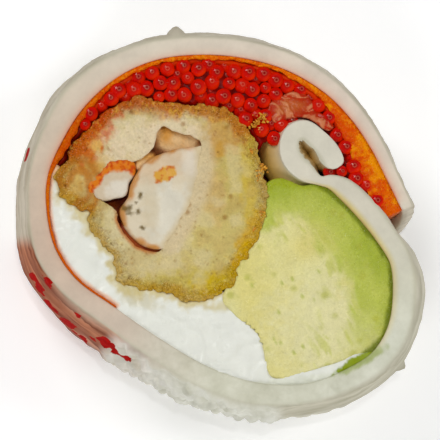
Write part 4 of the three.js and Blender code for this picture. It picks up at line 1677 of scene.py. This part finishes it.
@dataclass
class Batter(Filling):
    """Fried batter round the prawn: soft and beige inside, with a golden craggy rim."""

    name: str = "fried_batter"
    slot: str = "batter"
    nodes: tuple[str, ...] = ("batter",)
    pitch: float = 0.24
    levels: int = 22
    rough: float = 0.3
    sunk: float = 0.16
    edge: float = 0.13
    floor: float = 3.4  # depth of the hollows round the prawn
    shallow: tuple[tuple[Patch, float], ...] = (
        (Patch((178, 138), (28, 18), -10), 1.1), (Patch((146, 162), (13, 10), 30), 0.45),
        (Patch((138, 242), (36, 24)), 1.1))
    wet: tuple[Patch, ...] = (Patch((150, 140), (50, 22), 8), Patch((118, 150), (24, 18)))
    beige: Shade = (200, 180, 120)
    washes: tuple[Wash, ...] = (
        Wash((192, 172, 90), Patch((236, 195), (24, 70))),
        Wash((200, 182, 108), Patch((212, 240), (34, 36))),
        Wash((190, 170, 74), Patch((185, 284), (58, 13), 4)),
        Wash((204, 188, 136), Patch((132, 250), (24, 24))),
        Wash((206, 190, 142), Patch((115, 228), (14, 20))),
        Wash((220, 200, 164), Patch((152, 142), (56, 25), 8), 1.0),
        Wash((200, 168, 104), Patch((212, 188), (12, 34), 8), 0.8),
        Wash((218, 205, 178), Patch((184, 206), (12, 43), -18), 0.95, 0.7, 0.25),
        Wash((184, 154, 78), Patch((188, 231), (2.6, 10), -30), 0.7, 0.5, 0.4),
        Wash((192, 142, 60), Patch((228, 132), (22, 18), -30), 0.75),
        Wash((192, 140, 44), Patch((214, 149), (11, 10)), 0.8),
        Wash((200, 172, 56), Patch((250, 168), (8, 52)), 0.8, 0.9, 0.5),
        Wash((212, 168, 0), Patch((247, 252), (12, 44), -22), 1.0, 0.9, 0.4),
        Wash((196, 166, 0), Patch((228, 284), (34, 14), 12), 1.0, 0.9, 0.4),
        Wash((186, 144, 36), Patch((155, 292), (46, 6), 2), 0.7, 0.9, 0.5),
        Wash((198, 148, 50), Patch((92, 164), (16, 14)), 0.85),
        Wash((192, 100, 0), Patch((84, 146), (14, 22), 10), 0.95, 0.9, 0.5),
        Wash((198, 74, 0), Patch((94, 121), (22, 16), 40), 0.95, 0.9, 0.5),
        Wash((194, 138, 36), Patch((66, 190), (18, 26)), 0.9),
        Wash((212, 176, 96), Patch((72, 184), (8, 12), 20), 0.7),
        Wash((188, 134, 28), Patch((88, 206), (12, 10)), 0.75),
    )
    top_left_washes: tuple[Wash, ...] = (
        Wash((196, 96, 4), Patch((88, 140), (15, 20), -20), 0.7, 0.9, 0.6),
        Wash((196, 66, 0), Patch((98, 118), (20, 8), 38), 0.8, 0.9, 0.6),
        # a dark red streak along the orange layer
        Wash((104, 10, 0), Patch((68, 147), (4.5, 18), -27), 1.0, 0.4, 0.2),
        Wash((222, 186, 96), Patch((96, 146), (5, 6)), 0.6, 0.6, 0.6),
    )
    curl: Pixels = (
        (64, 182), (70, 169), (82, 166), (91, 173), (95, 187), (91, 202), (82, 209))
    crust_top: Pixels = (
        (72, 150), (90, 126), (110, 107), (140, 101), (175, 103), (205, 108), (234, 114), (246, 130))

    def region(self) -> Region:
        """The ring of batter between its rim and the tunnel."""
        cuts = [TUNNEL_RING, LINE.sheet_ring(-0.3), LINE.paste_ring(-0.25)]
        return Region.cut(BATTER_RING, cuts, self.pitch, 7)

    def pits(self, xy: Array) -> Array:
        """Depth of the pores, from 0 to 1.

        Args:
            xy: plan points.

        Returns:
            The depths.
        """
        result = np.zeros(len(xy))
        for scale, seed, share in ((0.55, 21, 0.84), (1.25, 22, 0.76), (2.1, 23, 0.7)):
            away, mark = cells(flat3(xy, scale), seed)
            result = np.maximum(result, ease(0.32, 0.1, away) * (mark > share) / (1 + 0.35 * (scale - 0.55)))
        return result

    def wetness(self, xy: Array) -> Array:
        """Where the batter is wet and smooth."""
        return np.maximum.reduce([patch.mask(xy, 0.6) for patch in self.wet])

    def top(self, xy: Array, away: Array) -> Array:
        """Crumbly towards the rim, with pores and creases.

        Args:
            xy: plan points.
            away: their distances from the rim.

        Returns:
            The heights.
        """
        crumb = ease(3.4, 0.3, distance(xy, BATTER_RING))
        wet = self.wetness(xy)
        crease = np.abs(uneven(xy, 0.95, 25, 4))
        strokes = layered(xyz(xy @ [0.8, -0.6] * 0.5, xy @ [0.6, 0.8] * 2.2, 0), 30, 3)
        z = SLICE - self.sunk + 0.16 * uneven(xy, 0.33, 24)
        z += (0.07 + 0.55 * crumb) * (0.3 - crease) * (1 - 0.4 * wet)
        z += 0.22 * ease(0.9, 0.1, to_path(xy, self.curl))
        z += 0.3 * Patch((214, 149), (10, 10)).mask(xy, 0.9, 0.1)
        z -= 0.32 * self.pits(xy) * (1 - 0.85 * wet)
        z += 0.17 * wet * strokes + (0.03 + 0.07 * crumb) * uneven(xy, 3.2, 26, 2)
        z -= round_edge(away, self.edge) * (1 - seam(xy))
        return z + (joint_height(xy) - z) * seam(xy, 1.8)

    def build(self) -> Object:
        """Adds the hollows' floors inside the ring of batter.

        Returns:
            The batter.
        """
        made = super().build()
        floor = Region.cut(outline(TUNNEL, 0.3, 0.35), [], 0.35, 8)
        deep = self.floor + 0.3 * uneven(floor.points, 0.6, 27)
        for patch, depth in self.shallow:
            deep += (depth - deep) * 0.95 * patch.mask(floor.points, 0.6, 0.1)
        plug = Block.raise_from(floor, SLICE - deep, deep, 6, 0.1, 28)
        none = 0 * plug.level
        # painted shade: the hollows' floors take the tan or dark brown of the hollows' shade
        tint = self.hollow_shade_tint(plug.plan, plain((180, 124, 70), plug.plan), 1 + none)
        masks = {"tint": tint, "crumb": none, "wet": none}
        inner = mesh_object("batter_floor", plug.points, plug.faces, masks)
        settle(inner, bpy.data.materials.get("batter_crumb") or self.dress(), self.slot)
        return made

    def hollow_shade_tint(self, xy: Array, tint: Array, share: Array) -> Array:
        """Colours of the hollows' walls and floors, painted as shade: tan where shallow, dark red-brown
        where deep.

        Args:
            xy: plan points.
            tint: the colours so far.
            share: how far down in a hollow each point is, from 0 to 1.

        Returns:
            The new colours.
        """
        shallow = np.maximum.reduce([patch.mask(xy, 0.7, 0.1) for patch, _ in self.shallow[:2]])
        warm = np.clip(0.5 + uneven(xy, 0.5, 34), 0, 1)
        tan = coated(plain((200, 140, 56), xy), ((218, 180, 128), warm))
        dark = coated(plain((128, 38, 0), xy), ((176, 80, 4), warm * 0.8))
        shade_tint = tan * shallow[:, None] + dark * (1 - shallow[:, None])
        return tint + (shade_tint - tint) * share[:, None]

    def masks(self, block: Block) -> dict[str, Array]:
        """Its colours, with painted shade in its creases, pores and hollows, and where it is crumbly.

        Args:
            block: the filling's block.

        Returns:
            The masks by name.
        """
        xy = block.plan
        rim = distance(xy, BATTER_RING)
        ragged = 0.8 * uneven(xy, 0.8, 29, 4)
        crust = ease(2.5, 0.5, to_path(xy, self.crust_top) + ragged)
        speck = uneven(xy, 2.0, 46)
        crease = np.abs(uneven(xy, 0.95, 25, 4))
        crumbly = ease(3.4, 0.3, rim)
        soft = uneven(xy, 0.4, 55)
        tint = coated(
            washed(xy, plain(self.beige, xy), self.washes),
            ((180, 148, 84), 0.35 * ease(0.0, 0.6, soft) * (1 - self.wetness(xy))),
            ((216, 202, 160), 0.35 * ease(0.0, -0.6, soft) * (1 - crumbly)),
            # painted shade: darker brown along the creases of the crumbly rim
            ((150, 98, 8), 0.65 * crumbly * ease(0.1, 0.0, crease)),
            ((220, 200, 116), (0.1 + 0.4 * crumbly) * ease(0.3, 0.8, speck)),
            ((208, 188, 146), 0.9 * seam(xy, 2.2)),
            ((190, 144, 20), 0.6 * ease(1.5, 0.1, rim + 0.5 * ragged)),
        )
        to_left = ease(-2, -14, xy[:, 0])[:, None]
        brown = np.array(srgb(192, 118, 30)) * (1 - to_left) + np.array(srgb(192, 84, 2)) * to_left
        tint = washed(xy, tint + (brown - tint) * (0.9 * crust)[:, None], self.top_left_washes)
        curl = to_path(xy, self.curl)
        near = ease(0.7, 0.15, distance(xy, TUNNEL_RING)) * Patch((126, 240), (32, 30)).mask(xy)
        tint = coated(
            tint,
            ((226, 172, 62), 0.7 * crust * ease(0.2, 0.8, speck)),
            # painted shade: dark brown along the crust's creases
            ((122, 46, 0), 0.7 * crust * ease(0.09, 0.0, crease)),
            ((178, 108, 20), 0.75 * ease(0.9, 0.2, np.abs(curl - 0.7) + 0.3 * ragged)),
            ((184, 96, 8), 0.8 * near),
            # painted shade: darker pores on the upper cut
            ((150, 102, 34), 0.6 * self.pits(xy) * (block.level > 0.98)),
        )
        depth = SLICE - block.points[:, 2]
        # painted shade: the walls darken down into the hollows round the prawn
        hollow = ease(0.35, 0.05, distance(xy, TUNNEL_RING)) * ease(0.3, 1.3, depth)
        crumb = np.maximum(crust, ease(3, 0.5, rim))
        return {"tint": self.hollow_shade_tint(xy, tint, hollow), "crumb": crumb, "wet": self.wetness(xy)}

    def dress(self) -> Material:
        """Beige crumb with a golden rim.

        Returns:
            The material.
        """
        f = Finish("batter_crumb")
        fine, crumb = f.mottle(2.8, 11.0), f.mask("crumb")
        body = f.shade(f.shade(f.read("tint"), fine, 0.9, 1.1), f.mottle(0.6, 10.0), 0.94, 1.06)
        grain = f.math("MULTIPLY", f.effect(Effect.GRAIN, "Height", Pitch=3.0), crumb)
        rough = f.span(f.math("MAXIMUM", f.mask("wet"), crumb), 0.0, 1.0, 0.55, 0.14)
        soft = f.bump(fine, 0.1, 0.8)
        return f.finish(body, rough, 0.3, Normal=f.bump(grain, 0.24, 0.9, Normal=soft))


@dataclass
class Prawn(Filling):
    """The prawn's thick round of meat."""

    name: str = "prawn_meat"
    slot: str = "prawn"
    nodes: tuple[str, ...] = ("prawn",)
    pitch: float = 0.26
    rough: float = 0.1
    sunk: float = -0.12
    finish: Moist = Moist(
        "prawn_flesh", ((0.4, 13.0, 0.9, 1.02),), (1.6, 14.0, 0.05, 0.5), (0.9, 0.22, 0.42), 0.22)
    patch: Patch = Patch((164, 175), (12, 7.5), 22)
    washes: tuple[Wash, ...] = (
        Wash((217, 211, 193), Patch((172, 214), (26, 30))),
        Wash((212, 186, 152), Patch((162, 166), (26, 14), 24)),
        Wash((218, 206, 186), Patch((194, 163), (13, 14))),
        Wash((202, 186, 152), Patch((150, 208), (9, 18)), 0.6),
    )
    specks: tuple[Patch, ...] = (
        Patch((129, 208), (5, 5)), Patch((140, 196), (1.8, 3)), Patch((138, 212), (2.2, 2.6)),
        Patch((136, 203), (1.5, 1.5)), Patch((142, 228), (3.2, 2)), Patch((205, 213), (1.6, 3.5)),
        Patch((191, 226), (5, 1.6), 20))

    def region(self) -> Region:
        """The round of meat.

        Returns:
            The region.
        """
        ring = outline(PRAWN, 0.22, 0.05, 0.08, 1.4)
        ring += (ring - ring.mean(axis=0)) * (0.07 * seam(ring, 1.2))[:, None]
        return Region.cut(ring, [], self.pitch, 9)

    def top(self, xy: Array, away: Array) -> Array:
        """A soft dome with folds that run along the muscle.

        Args:
            xy: plan points.
            away: their distances from the rim.

        Returns:
            The heights.
        """
        z = SLICE - self.sunk - 0.004 * np.sum((xy - [-8, 3]) ** 2, axis=1)
        z += 0.08 * uneven(xy, 0.35, 31, 2)
        turned = xyz(xy @ [0.9, 0.43] * 0.35, xy @ [-0.43, 0.9] * 1.3, 0)
        z += 0.03 * layered(turned, 32, 3) - round_edge(away, self.edge) * (1 - seam(xy))
        return z + (joint_height(xy) - 0.04 - z) * seam(xy, 3.4)

    def masks(self, block: Block) -> dict[str, Array]:
        """Its colours, with an orange patch, olive specks and painted shade down its walls.

        Args:
            block: the filling's block.

        Returns:
            The masks by name.
        """
        xy = block.plan
        rim = distance(xy, outline(PRAWN, 0.3)) + 0.4 * uneven(xy, 0.7, 33, 2)
        patch = self.patch.mask(xy, 0.25, 0.35)
        return {"tint": coated(
            washed(xy, plain((212, 198, 170), xy), self.washes),
            ((192, 124, 36), 0.85 * ease(0.75, 0.1, rim) * (1 - seam(xy))),
            ((208, 188, 146), 0.95 * seam(xy, 1.9)),
            ((212, 154, 40), 0.95 * patch),
            ((194, 88, 4), 0.85 * patch * ease(0.0, 0.4, uneven(xy, 2.4, 48, 2))),
            ((98, 76, 8), 0.9 * np.maximum.reduce([p.mask(xy, 0.8, 0.6) for p in self.specks])),
            # painted shade: the walls darken with depth below the cut
            ((150, 70, 10), ease(0.5, 2.0, SLICE - block.points[:, 2])),
        )}


@dataclass
class PrawnTail(Filling):
    """The prawn's second, thinner round, with a strip of orange skin."""

    name: str = "prawn_second_round"
    slot: str = "prawn_tail"
    nodes: tuple[str, ...] = ("prawn_tail",)
    pitch: float = 0.22
    rough: float = 0.1
    sunk: float = 0.35
    edge: float = 0.4
    finish: Moist = Moist(
        "prawn_skin_and_flesh", ((2.2, 16.0, 0.94, 1.02),), (2.2, 16.0, 0.06, 0.5), 0.3, 0.14)
    skin: Pixels = (
        (86, 194), (89, 184), (98, 174), (106, 166), (118, 163), (130, 164), (138, 170))

    def region(self) -> Region:
        """The second round, cut back from the first."""
        ring = outline(PRAWN_TAIL, 0.2, 0.12, 0.1, 1.1)
        return Region.cut(ring, [outline(PRAWN, 0.22, 0.0, 0.08, 1.4)], self.pitch, 10)

    def top(self, xy: Array, away: Array) -> Array:
        """Soft, with a raised skin.

        Args:
            xy: plan points.
            away: their distances from the rim.

        Returns:
            The heights.
        """
        raised = ease(1.5, 0.3, to_path(xy, self.skin))
        z = SLICE - self.sunk + 0.1 * uneven(xy, 0.5, 35)
        return z + raised * (0.3 + 0.14 * uneven(xy, 2.2, 36)) - round_edge(away, self.edge)

    def masks(self, block: Block) -> dict[str, Array]:
        """White flesh and a speckled orange skin, with painted shade down its walls.

        Args:
            block: the filling's block.

        Returns:
            The masks by name.
        """
        xy = block.plan
        skin = ease(1.5, 0.8, to_path(xy, self.skin) + 0.45 * uneven(xy, 1.0, 37))
        return {"tint": coated(
            washed(xy, plain((204, 186, 158), xy), (Wash((220, 212, 196), Patch((122, 190), (14, 10))),)),
            ((214, 116, 0), 0.97 * skin),
            ((190, 54, 0), 0.85 * skin * ease(0.1, 0.6, uneven(xy, 2.4, 50))),
            # painted shade: the walls darken with depth below the cut
            ((110, 50, 10), ease(0.7, 2.4, SLICE - block.points[:, 2])),
        )}


@dataclass
class PinkShred(Filling):
    """A wet, translucent pink shred that lies in the roe."""

    name: str = "pink_shred_strand"
    slot: str = "pink_shred"
    nodes: tuple[str, ...] = ("pink_shred",)
    pitch: float = 0.16
    levels: int = 8
    sunk: float = 0.4
    finish: Moist = Moist(
        "pink_shred_flesh", ((1.6, 18.0, 0.9, 1.08),), (1.6, 18.0, 0.08, 0.5), 0.2, 0.22)

    def region(self) -> Region:
        """The shred's outline."""
        ring = outline(SHRED, 0.2, 0.15, 0.16, 1.3)
        return Region.cut(ring, [LINE.sheet_ring(0.0), LINE.paste_ring(0.0)], self.pitch, 11)

    def wrinkles(self, xy: Array) -> Array:
        """Fine wrinkles along the shred.

        Args:
            xy: plan points.

        Returns:
            The wrinkles, about -1 to 1.
        """
        bend = 1.4 * uneven(xy, 0.35, 38)
        along, over = xy @ [0.9, -0.43], xy @ [0.43, 0.9] + bend
        return layered(xyz(along * 0.8, over * 3.2, 0), 39, 3)

    def top(self, xy: Array, away: Array) -> Array:
        """Wrinkled and sunk into the roe."""
        z = SLICE - self.sunk + 0.12 * self.wrinkles(xy) + 0.3 * uneven(xy, 0.5, 40, 2)
        return z - round_edge(away, self.edge)

    def masks(self, block: Block) -> dict[str, Array]:
        """Red where it is thin, pale along its wrinkles.

        Args:
            block: the filling's block.

        Returns:
            The masks by name.
        """
        xy = block.plan
        rim = distance(xy, outline(SHRED, 0.3)) + 0.6 * uneven(xy, 0.6, 53)
        pale = 0.7 * ease(0.1, 0.7, self.wrinkles(xy))
        return {"tint": coated(
            plain((180, 84, 36), xy), ((172, 36, 4), ease(1.5, 0.1, rim)), ((208, 136, 90), pale))}


# ---------------------------------------------------------------- the roe


@dataclass
class Roe:
    """Red eggs in their juice: whole eggs on both cuts over a core."""

    marked: float = 1.22  # radius of the eggs that show in the photo
    radii: tuple[float, ...] = (1.14, 1.02, 0.9)  # of those laid between them
    filler: tuple[float, ...] = (1.08, 1.08)  # of those below, layer by layer
    left_end: tuple[float, float] = (-15.0, 9.5)  # none lies to its left and below it
    pitch: float = 0.85  # least distance between two eggs' middles, in diameters
    span: tuple[float, float] = (0.006, 0.4)  # the sheet's shares that it lies along
    sunk_core: float = 1.6
    pocket_depth: float = 5.4  # of the hollow between batter, hook and avocado
    # Eggs that show in the photo, by pixel.
    marks: Pixels = (
        (91, 114), (112, 99), (119, 91), (135, 90), (139, 77), (147, 89), (153, 73), (161, 83), (168, 69),
        (174, 84), (172, 95), (185, 95), (184, 66), (199, 69), (199, 87), (209, 64), (213, 82), (213, 101),
        (217, 72), (235, 71), (249, 72), (243, 85), (253, 89), (224, 96), (238, 100), (264, 73), (276, 79),
        (288, 85), (301, 89), (306, 97), (274, 100), (319, 104), (330, 116), (246, 119), (262, 129),
        (338, 133), (347, 145), (355, 165), (357, 177), (368, 183), (378, 199),
    )
    # The hook's slit, which holds no roe.
    slit: Pixels = (
        (298, 130), (312, 140), (322, 152), (327, 163), (325, 176), (308, 169), (297, 156))
    # Its depth, by share of the sheet's length.
    depths: tuple[tuple[float, float], ...] = (
        (0, 5), (0.07, 9), (0.09, 20), (0.19, 20), (0.21, 9), (1, 7.6))

    @staticmethod
    def start(share: Array) -> Array:
        """Where the roe starts inward of the sheet's middle line, past the orange layer."""
        return LINE.at(share)[3] + 0.25 + np.interp(share, *PASTE.T)

    def area(self) -> tuple[Array, list[Array]]:
        """The crescent's ring, and the rings of its neighbours.

        Returns:
            The ring, then its neighbours' rings.
        """
        share = np.linspace(*self.span, 240)
        start = self.start(share)
        ring = LINE.band_ring(share, start - 0.15, start + np.interp(share, *np.array(self.depths).T))
        cuts = [LINE.sheet_ring(-0.02), BATTER_RING, AVOCADO_RING, outline(SHRED, 0.25, -0.1)]
        return ring, [*cuts, smooth_curve(spots(self.slit), True)]

    def lay(self) -> Array:
        """Places of the eggs on the upper cut.

        Returns:
            Rows of x, y, z and radius.
        """
        ring, cuts = self.area()
        pocket = outline(POCKET, 0.5)
        laid: list[tuple[float, float, float, float]] = []

        def put(xy: Array, radius: float, z: float, pitch: float, slack: float) -> None:
            """Lays one egg if there is room for it.

            Args:
                xy: where it lies on the plan.
                radius: the egg's radius.
                z: height of its middle.
                pitch: least distance from another egg, in diameters.
                slack: room that it needs beside its neighbours, in radii.
            """
            p, here = xy[None, :], np.array([*xy, z])
            if not inside(p, ring)[0] or inside(p, pocket)[0]:
                return
            if any(inside(p, c)[0] or distance(p, c)[0] < radius * slack for c in cuts):
                return
            beyond = xy[0] < self.left_end[0] and xy[1] < self.left_end[1]
            if distance(p, ring)[0] < radius * slack * 0.8 or beyond:
                return
            if any(np.linalg.norm(here - e[:3]) < pitch * (radius + e[3]) for e in laid):
                return
            laid.append((*here, radius))

        for pixel in self.marks:
            xy = spot(*pixel)
            size = self.marked + 0.08 * lumps(flat3(xy[None, :], 0.9), 3)[0]
            sink = 0.6 * abs(lumps(flat3(xy[None, :], 0.9), 13)[0])
            put(xy, size, SLICE - size + 0.2 - sink, 0.5, 0.15)
        share = np.arange(*self.span, 0.0022)
        middle, _, inward, _ = LINE.at(share)
        start = self.start(share)
        for layer, radius in enumerate((*self.radii, *self.filler)):
            top_layer = layer < len(self.radii)
            sunk = 0.15 if top_layer else 0.8 * (layer - 2)
            pitch, slack = (self.pitch, 0.6) if top_layer else (0.7, 0.3)
            for depth in np.arange(radius * 0.8, 9, 0.4):
                places = middle + inward * (start + depth)[:, None]
                wobble = np.column_stack([lumps(flat3(places, 0.5), seed) for seed in (11, 12)])
                for xy in places + 0.2 * wobble:
                    put(xy, radius, SLICE - radius - sunk, pitch, slack)
        return np.array(laid)

    def build(self) -> list[Object]:
        """Makes the core and the eggs.

        Returns:
            The core, then the eggs.
        """
        ring, cuts = self.area()
        region = Region.cut(ring, cuts, 0.4, 12)
        away = region.rim_distance()
        bumps, _ = cells(flat3(region.points, 0.5), 14)
        top = SLICE - self.sunk_core + 0.5 * (0.5 - bumps) - round_edge(away, 0.4)
        beside = ease(1.5, 0.2, distance(region.points, LINE.paste_ring(0.0)))
        top += 0.9 * beside - self.pocket_depth * inside(region.points, outline(POCKET, 0.4))
        low = self.sunk_core + 0 * top
        block = Block.raise_from(region, top, low, 10, 0.1, 15)
        warm = ease(1.6, 0.1, distance(block.plan, LINE.paste_ring(0.0)))
        dark = Patch((68, 148), (9, 22), -27).mask(block.plan, 0.6)
        core = mesh_object("roe_juice", block.points, block.faces, {"warm": warm * (1 - dark), "dark": dark})
        eggs = self.lay()
        under = eggs.copy()
        under[:, 2] = np.maximum(SLICE - eggs[:, 2], eggs[:, 3]) + FOOT
        whole = np.vstack([eggs, under])
        return [core, self.egg_mesh(whole)]

    def egg_mesh(self, eggs: Array) -> Object:
        """All eggs as one mesh of slightly uneven balls.

        Args:
            eggs: rows of x, y, z and radius.

        Returns:
            The eggs.
        """
        ball, triangles = icosphere(3)
        points, faces, local, tone = [], [], [], []
        for i, (x, y, z, radius) in enumerate(eggs):
            squeeze = 1 + 0.05 * lumps(ball * 1.3 + i * 3.1, 4)
            centre = np.array([x, y, z])
            points.append(slump(np.tile(centre, (len(ball), 1))) + ball * (radius * squeeze)[:, None])
            faces.append(triangles + i * len(ball))
            turn = 0.28 * np.array([math.sin(i * 2.4), math.cos(i * 1.7)])
            local.append(ball + np.append(turn * 0.35, 0))
            tone.append(np.full(len(ball), (i * 0.618) % 1))
        masks = {"local": np.vstack(local), "tone": np.concatenate(tone)}
        return mesh_object("roe_eggs", np.vstack(points), np.vstack(faces), masks)

    def dress_core(self) -> Material:
        """Dark red juice.

        Returns:
            The material.
        """
        f = Finish("roe_juice")
        body = f.mix(f.mottle(0.6, 20.0), srgb(120, 2, 0), srgb(176, 14, 0))
        body = f.coats(body, ("warm", 0.9, srgb(206, 50, 0)), ("dark", 1.0, srgb(96, 8, 0)))
        return f.finish(body, 0.3, 0.08)

    def dress_eggs(self) -> Material:
        """Glossy eggs with a painted bright rim, darker middle and lit side, and a small painted pale ring
        highlight.

        Returns:
            The material.
        """
        f = Finish("roe_egg")
        x, y, z = f.add("ShaderNodeSeparateXYZ", {0: f.read("local")}).outputs
        away = f.math("SQRT", f.math("ADD", f.math("MULTIPLY", x, x), f.math("MULTIPLY", y, y)))
        # painted light: the lower right of each egg is lit orange
        lit = f.span(f.math("MULTIPLY", f.math("SUBTRACT", x, y), 0.7), 0.2, 0.9)
        tone = f.span(f.mask("tone"), 0.5, 1.0)
        # painted highlight: a pale ring near the top of each egg
        ring = f.math("MULTIPLY", f.span(away, 0.12, 0.19), f.span(away, 0.32, 0.24))
        ring_highlight = f.math("MULTIPLY", ring, f.span(z, 0.5, 0.8))
        # painted light through the egg: a darker middle and a brighter rim by distance from its top
        body = f.mix(f.span(away, 0.15, 0.6), srgb(132, 0, 0), srgb(196, 8, 0))
        body = f.mix(f.span(away, 0.62, 0.97), body, srgb(218, 24, 0))
        body = f.mix(f.math("MULTIPLY", lit, 0.6), body, srgb(234, 56, 0))
        body = f.mix(f.math("MULTIPLY", tone, 0.5), body, srgb(216, 28, 0))
        body = f.mix(f.math("MULTIPLY", ring_highlight, 0.26), body, srgb(240, 130, 100))
        return f.finish(body, 0.08, 0.24)


def icosphere(cuts: int) -> tuple[Array, Array]:
    """A ball of triangles.

    Args:
        cuts: how often each triangle of the icosahedron is split in four.

    Returns:
        Its points, one unit from the middle, and its triangles.
    """
    bm = bmesh.new()
    bmesh.ops.create_icosphere(bm, subdivisions=cuts, radius=1.0)
    points = np.array([tuple(v.co) for v in bm.verts])
    triangles = np.array([[v.index for v in f.verts] for f in bm.faces])
    bm.free()
    return points, triangles


# ---------------------------------------------------------------- crumbs


@dataclass
class Crumbs:
    """Golden crumbs that have come off the batter."""

    # Where they lie in the photo, how far they are spread in pixels, and how many there are.
    clusters: tuple[tuple[float, float, float, int], ...] = (
        (262, 118, 6, 30), (255, 124, 6, 24), (263, 168, 5, 26), (260, 176, 5, 16), (252, 150, 3, 10),
        (262, 212, 3, 8), (256, 228, 3, 6),
    )
    size: float = 0.17

    def build(self) -> Object:
        """Makes the crumbs.

        Returns:
            All crumbs as one mesh.
        """
        ball, triangles = icosphere(2)
        rng = np.random.default_rng(44)
        points, faces = [], []
        for px, py, spread, count in self.clusters:
            for _ in range(count):
                xy = spot(px, py) + rng.normal(0, spread * PHOTO_PITCH / 2, 2)
                radius = self.size * rng.uniform(0.5, 1.35)
                shape = 1 + 0.5 * layered(ball * 1.5 + rng.uniform(0, 90, 3), 45, 3)
                squash = rng.uniform(0.6, 1.2, 3)
                z = SLICE - 0.12 + rng.uniform(-0.3, 0.22)
                points.append(ball * shape[:, None] * squash * radius + [*xy, z])
                faces.append(triangles + len(ball) * len(faces))
        return mesh_object("batter_crumbs", np.vstack(points), np.vstack(faces))

    def dress(self) -> Material:
        """Golden and crisp.

        Returns:
            The material.
        """
        f = Finish("golden_crumb")
        body = f.mix(f.mottle(2.5, 30.0), srgb(192, 110, 8), srgb(226, 172, 56))
        height = f.effect(Effect.GRAIN, "Height", Pitch=5.0)
        return f.finish(body, 0.34, 0.4, Normal=f.bump(height, 0.08, 0.6))


# ---------------------------------------------------------------- the studio


@dataclass(frozen=True)
class Light:
    """A round soft light that faces the roll: its size is in metres, its power in watts."""

    name: str
    place: tuple[float, float, float]
    size: float
    power: float
    shows: bool = False  # whether wet surfaces reflect it

    def build(self) -> None:
        """Makes the light."""
        data = bpy.data.lights.new(self.name, "AREA")
        data.shape = "DISK"
        data.size = self.size
        data.energy = self.power
        made = bpy.data.objects.new(self.name, data)
        made.location = self.place
        made.visible_glossy = self.shows
        made.rotation_euler = (-Vector(self.place)).to_track_quat("-Z", "Y").to_euler()
        bpy.context.scene.collection.objects.link(made)


@dataclass
class Studio:
    """Pale floor, soft light and the photo's point of view."""

    floor_half: float = 2.5
    floor_glow: float = 0.14
    world: float = 0.2
    sensor: float = 36.0
    lights: tuple[Light, ...] = (
        Light("soft_key", (-0.3, 0.35, 0.5), 0.3, 1.9, True),
        Light("soft_right", (0.45, 0.1, 0.4), 0.3, 1.1),
        Light("soft_front", (-0.2, -0.45, 0.42), 0.3, 1.0),
        Light("soft_low", (-0.4, -0.45, 0.16), 0.3, 0.6),
        Light("soft_side", (0.45, -0.35, 0.14), 0.3, 0.8),
        Light("glint", (-0.02, 0.035, 0.6), 0.014, 0.3, True),
    )

    def camera(self) -> None:
        """Places the camera where the photo was taken from."""
        eye = Eye()
        data = bpy.data.cameras.new("photo_view")
        data.sensor_width = self.sensor
        data.lens = self.sensor * EYE_DISTANCE / (PHOTO_SIDE * PHOTO_PITCH)
        data.clip_start = 0.01
        made = bpy.data.objects.new("photo_view", data)
        place = (eye.place + np.append(PLAN_SHIFT, 0)) * MM
        turn = np.column_stack([eye.right, eye.up, eye.back])
        made.matrix_world = Matrix.Translation(place) @ Matrix(turn.tolist()).to_4x4()
        bpy.context.scene.collection.objects.link(made)
        bpy.context.scene.camera = made

    def floor(self) -> None:
        """Lays the pale floor."""
        half = self.floor_half
        mesh = bpy.data.meshes.new("floor")
        corners = [(-half, -half, 0), (half, -half, 0), (half, half, 0), (-half, half, 0)]
        mesh.from_pydata(corners, [], [(0, 1, 2, 3)])
        made = bpy.data.objects.new("floor", mesh)
        glow = {"Emission Color": (1, 1, 1), "Emission Strength": self.floor_glow}
        mesh.materials.append(Finish("pale_floor").finish(srgb(252, 252, 252), 0.7, 0.2, **glow))
        bpy.context.scene.collection.objects.link(made)

    def build(self) -> None:
        """Makes the floor, the lights and the camera."""
        self.floor()
        world = bpy.data.worlds.new("studio")
        world.use_nodes = True
        background = world.node_tree.nodes["Background"]
        background.inputs[0].default_value = (1, 1, 1, 1)
        background.inputs[1].default_value = self.world
        bpy.context.scene.world = world
        for light in self.lights:
            light.build()
        self.camera()
        bpy.context.scene.view_settings.view_transform = "Standard"


def main() -> None:
    """Builds the roll's pieces in order, then the studio."""
    logging.basicConfig(level=logging.INFO, format="%(message)s")
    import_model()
    sheet = SquidSheet()
    settle(sheet.build(), sheet.dress(), "squid", "squid_sheet")
    paste = OrangePaste()
    settle(paste.build(), paste.dress(), "orange_paste", "orange_paste")
    for filling in (Batter(), Prawn(), PrawnTail(), Cheese(), Avocado(), PinkShred()):
        material = filling.dress()
        settle(filling.build(), material, filling.slot, *filling.nodes)
    roe = Roe()
    core, eggs = roe.build()
    settle(core, roe.dress_core(), "roe", "roe")
    settle(eggs, roe.dress_eggs(), "roe", "roe")
    crumbs = Crumbs()
    settle(crumbs.build(), crumbs.dress(), "batter")
    Studio().build()


if __name__ == "__main__":
    main()
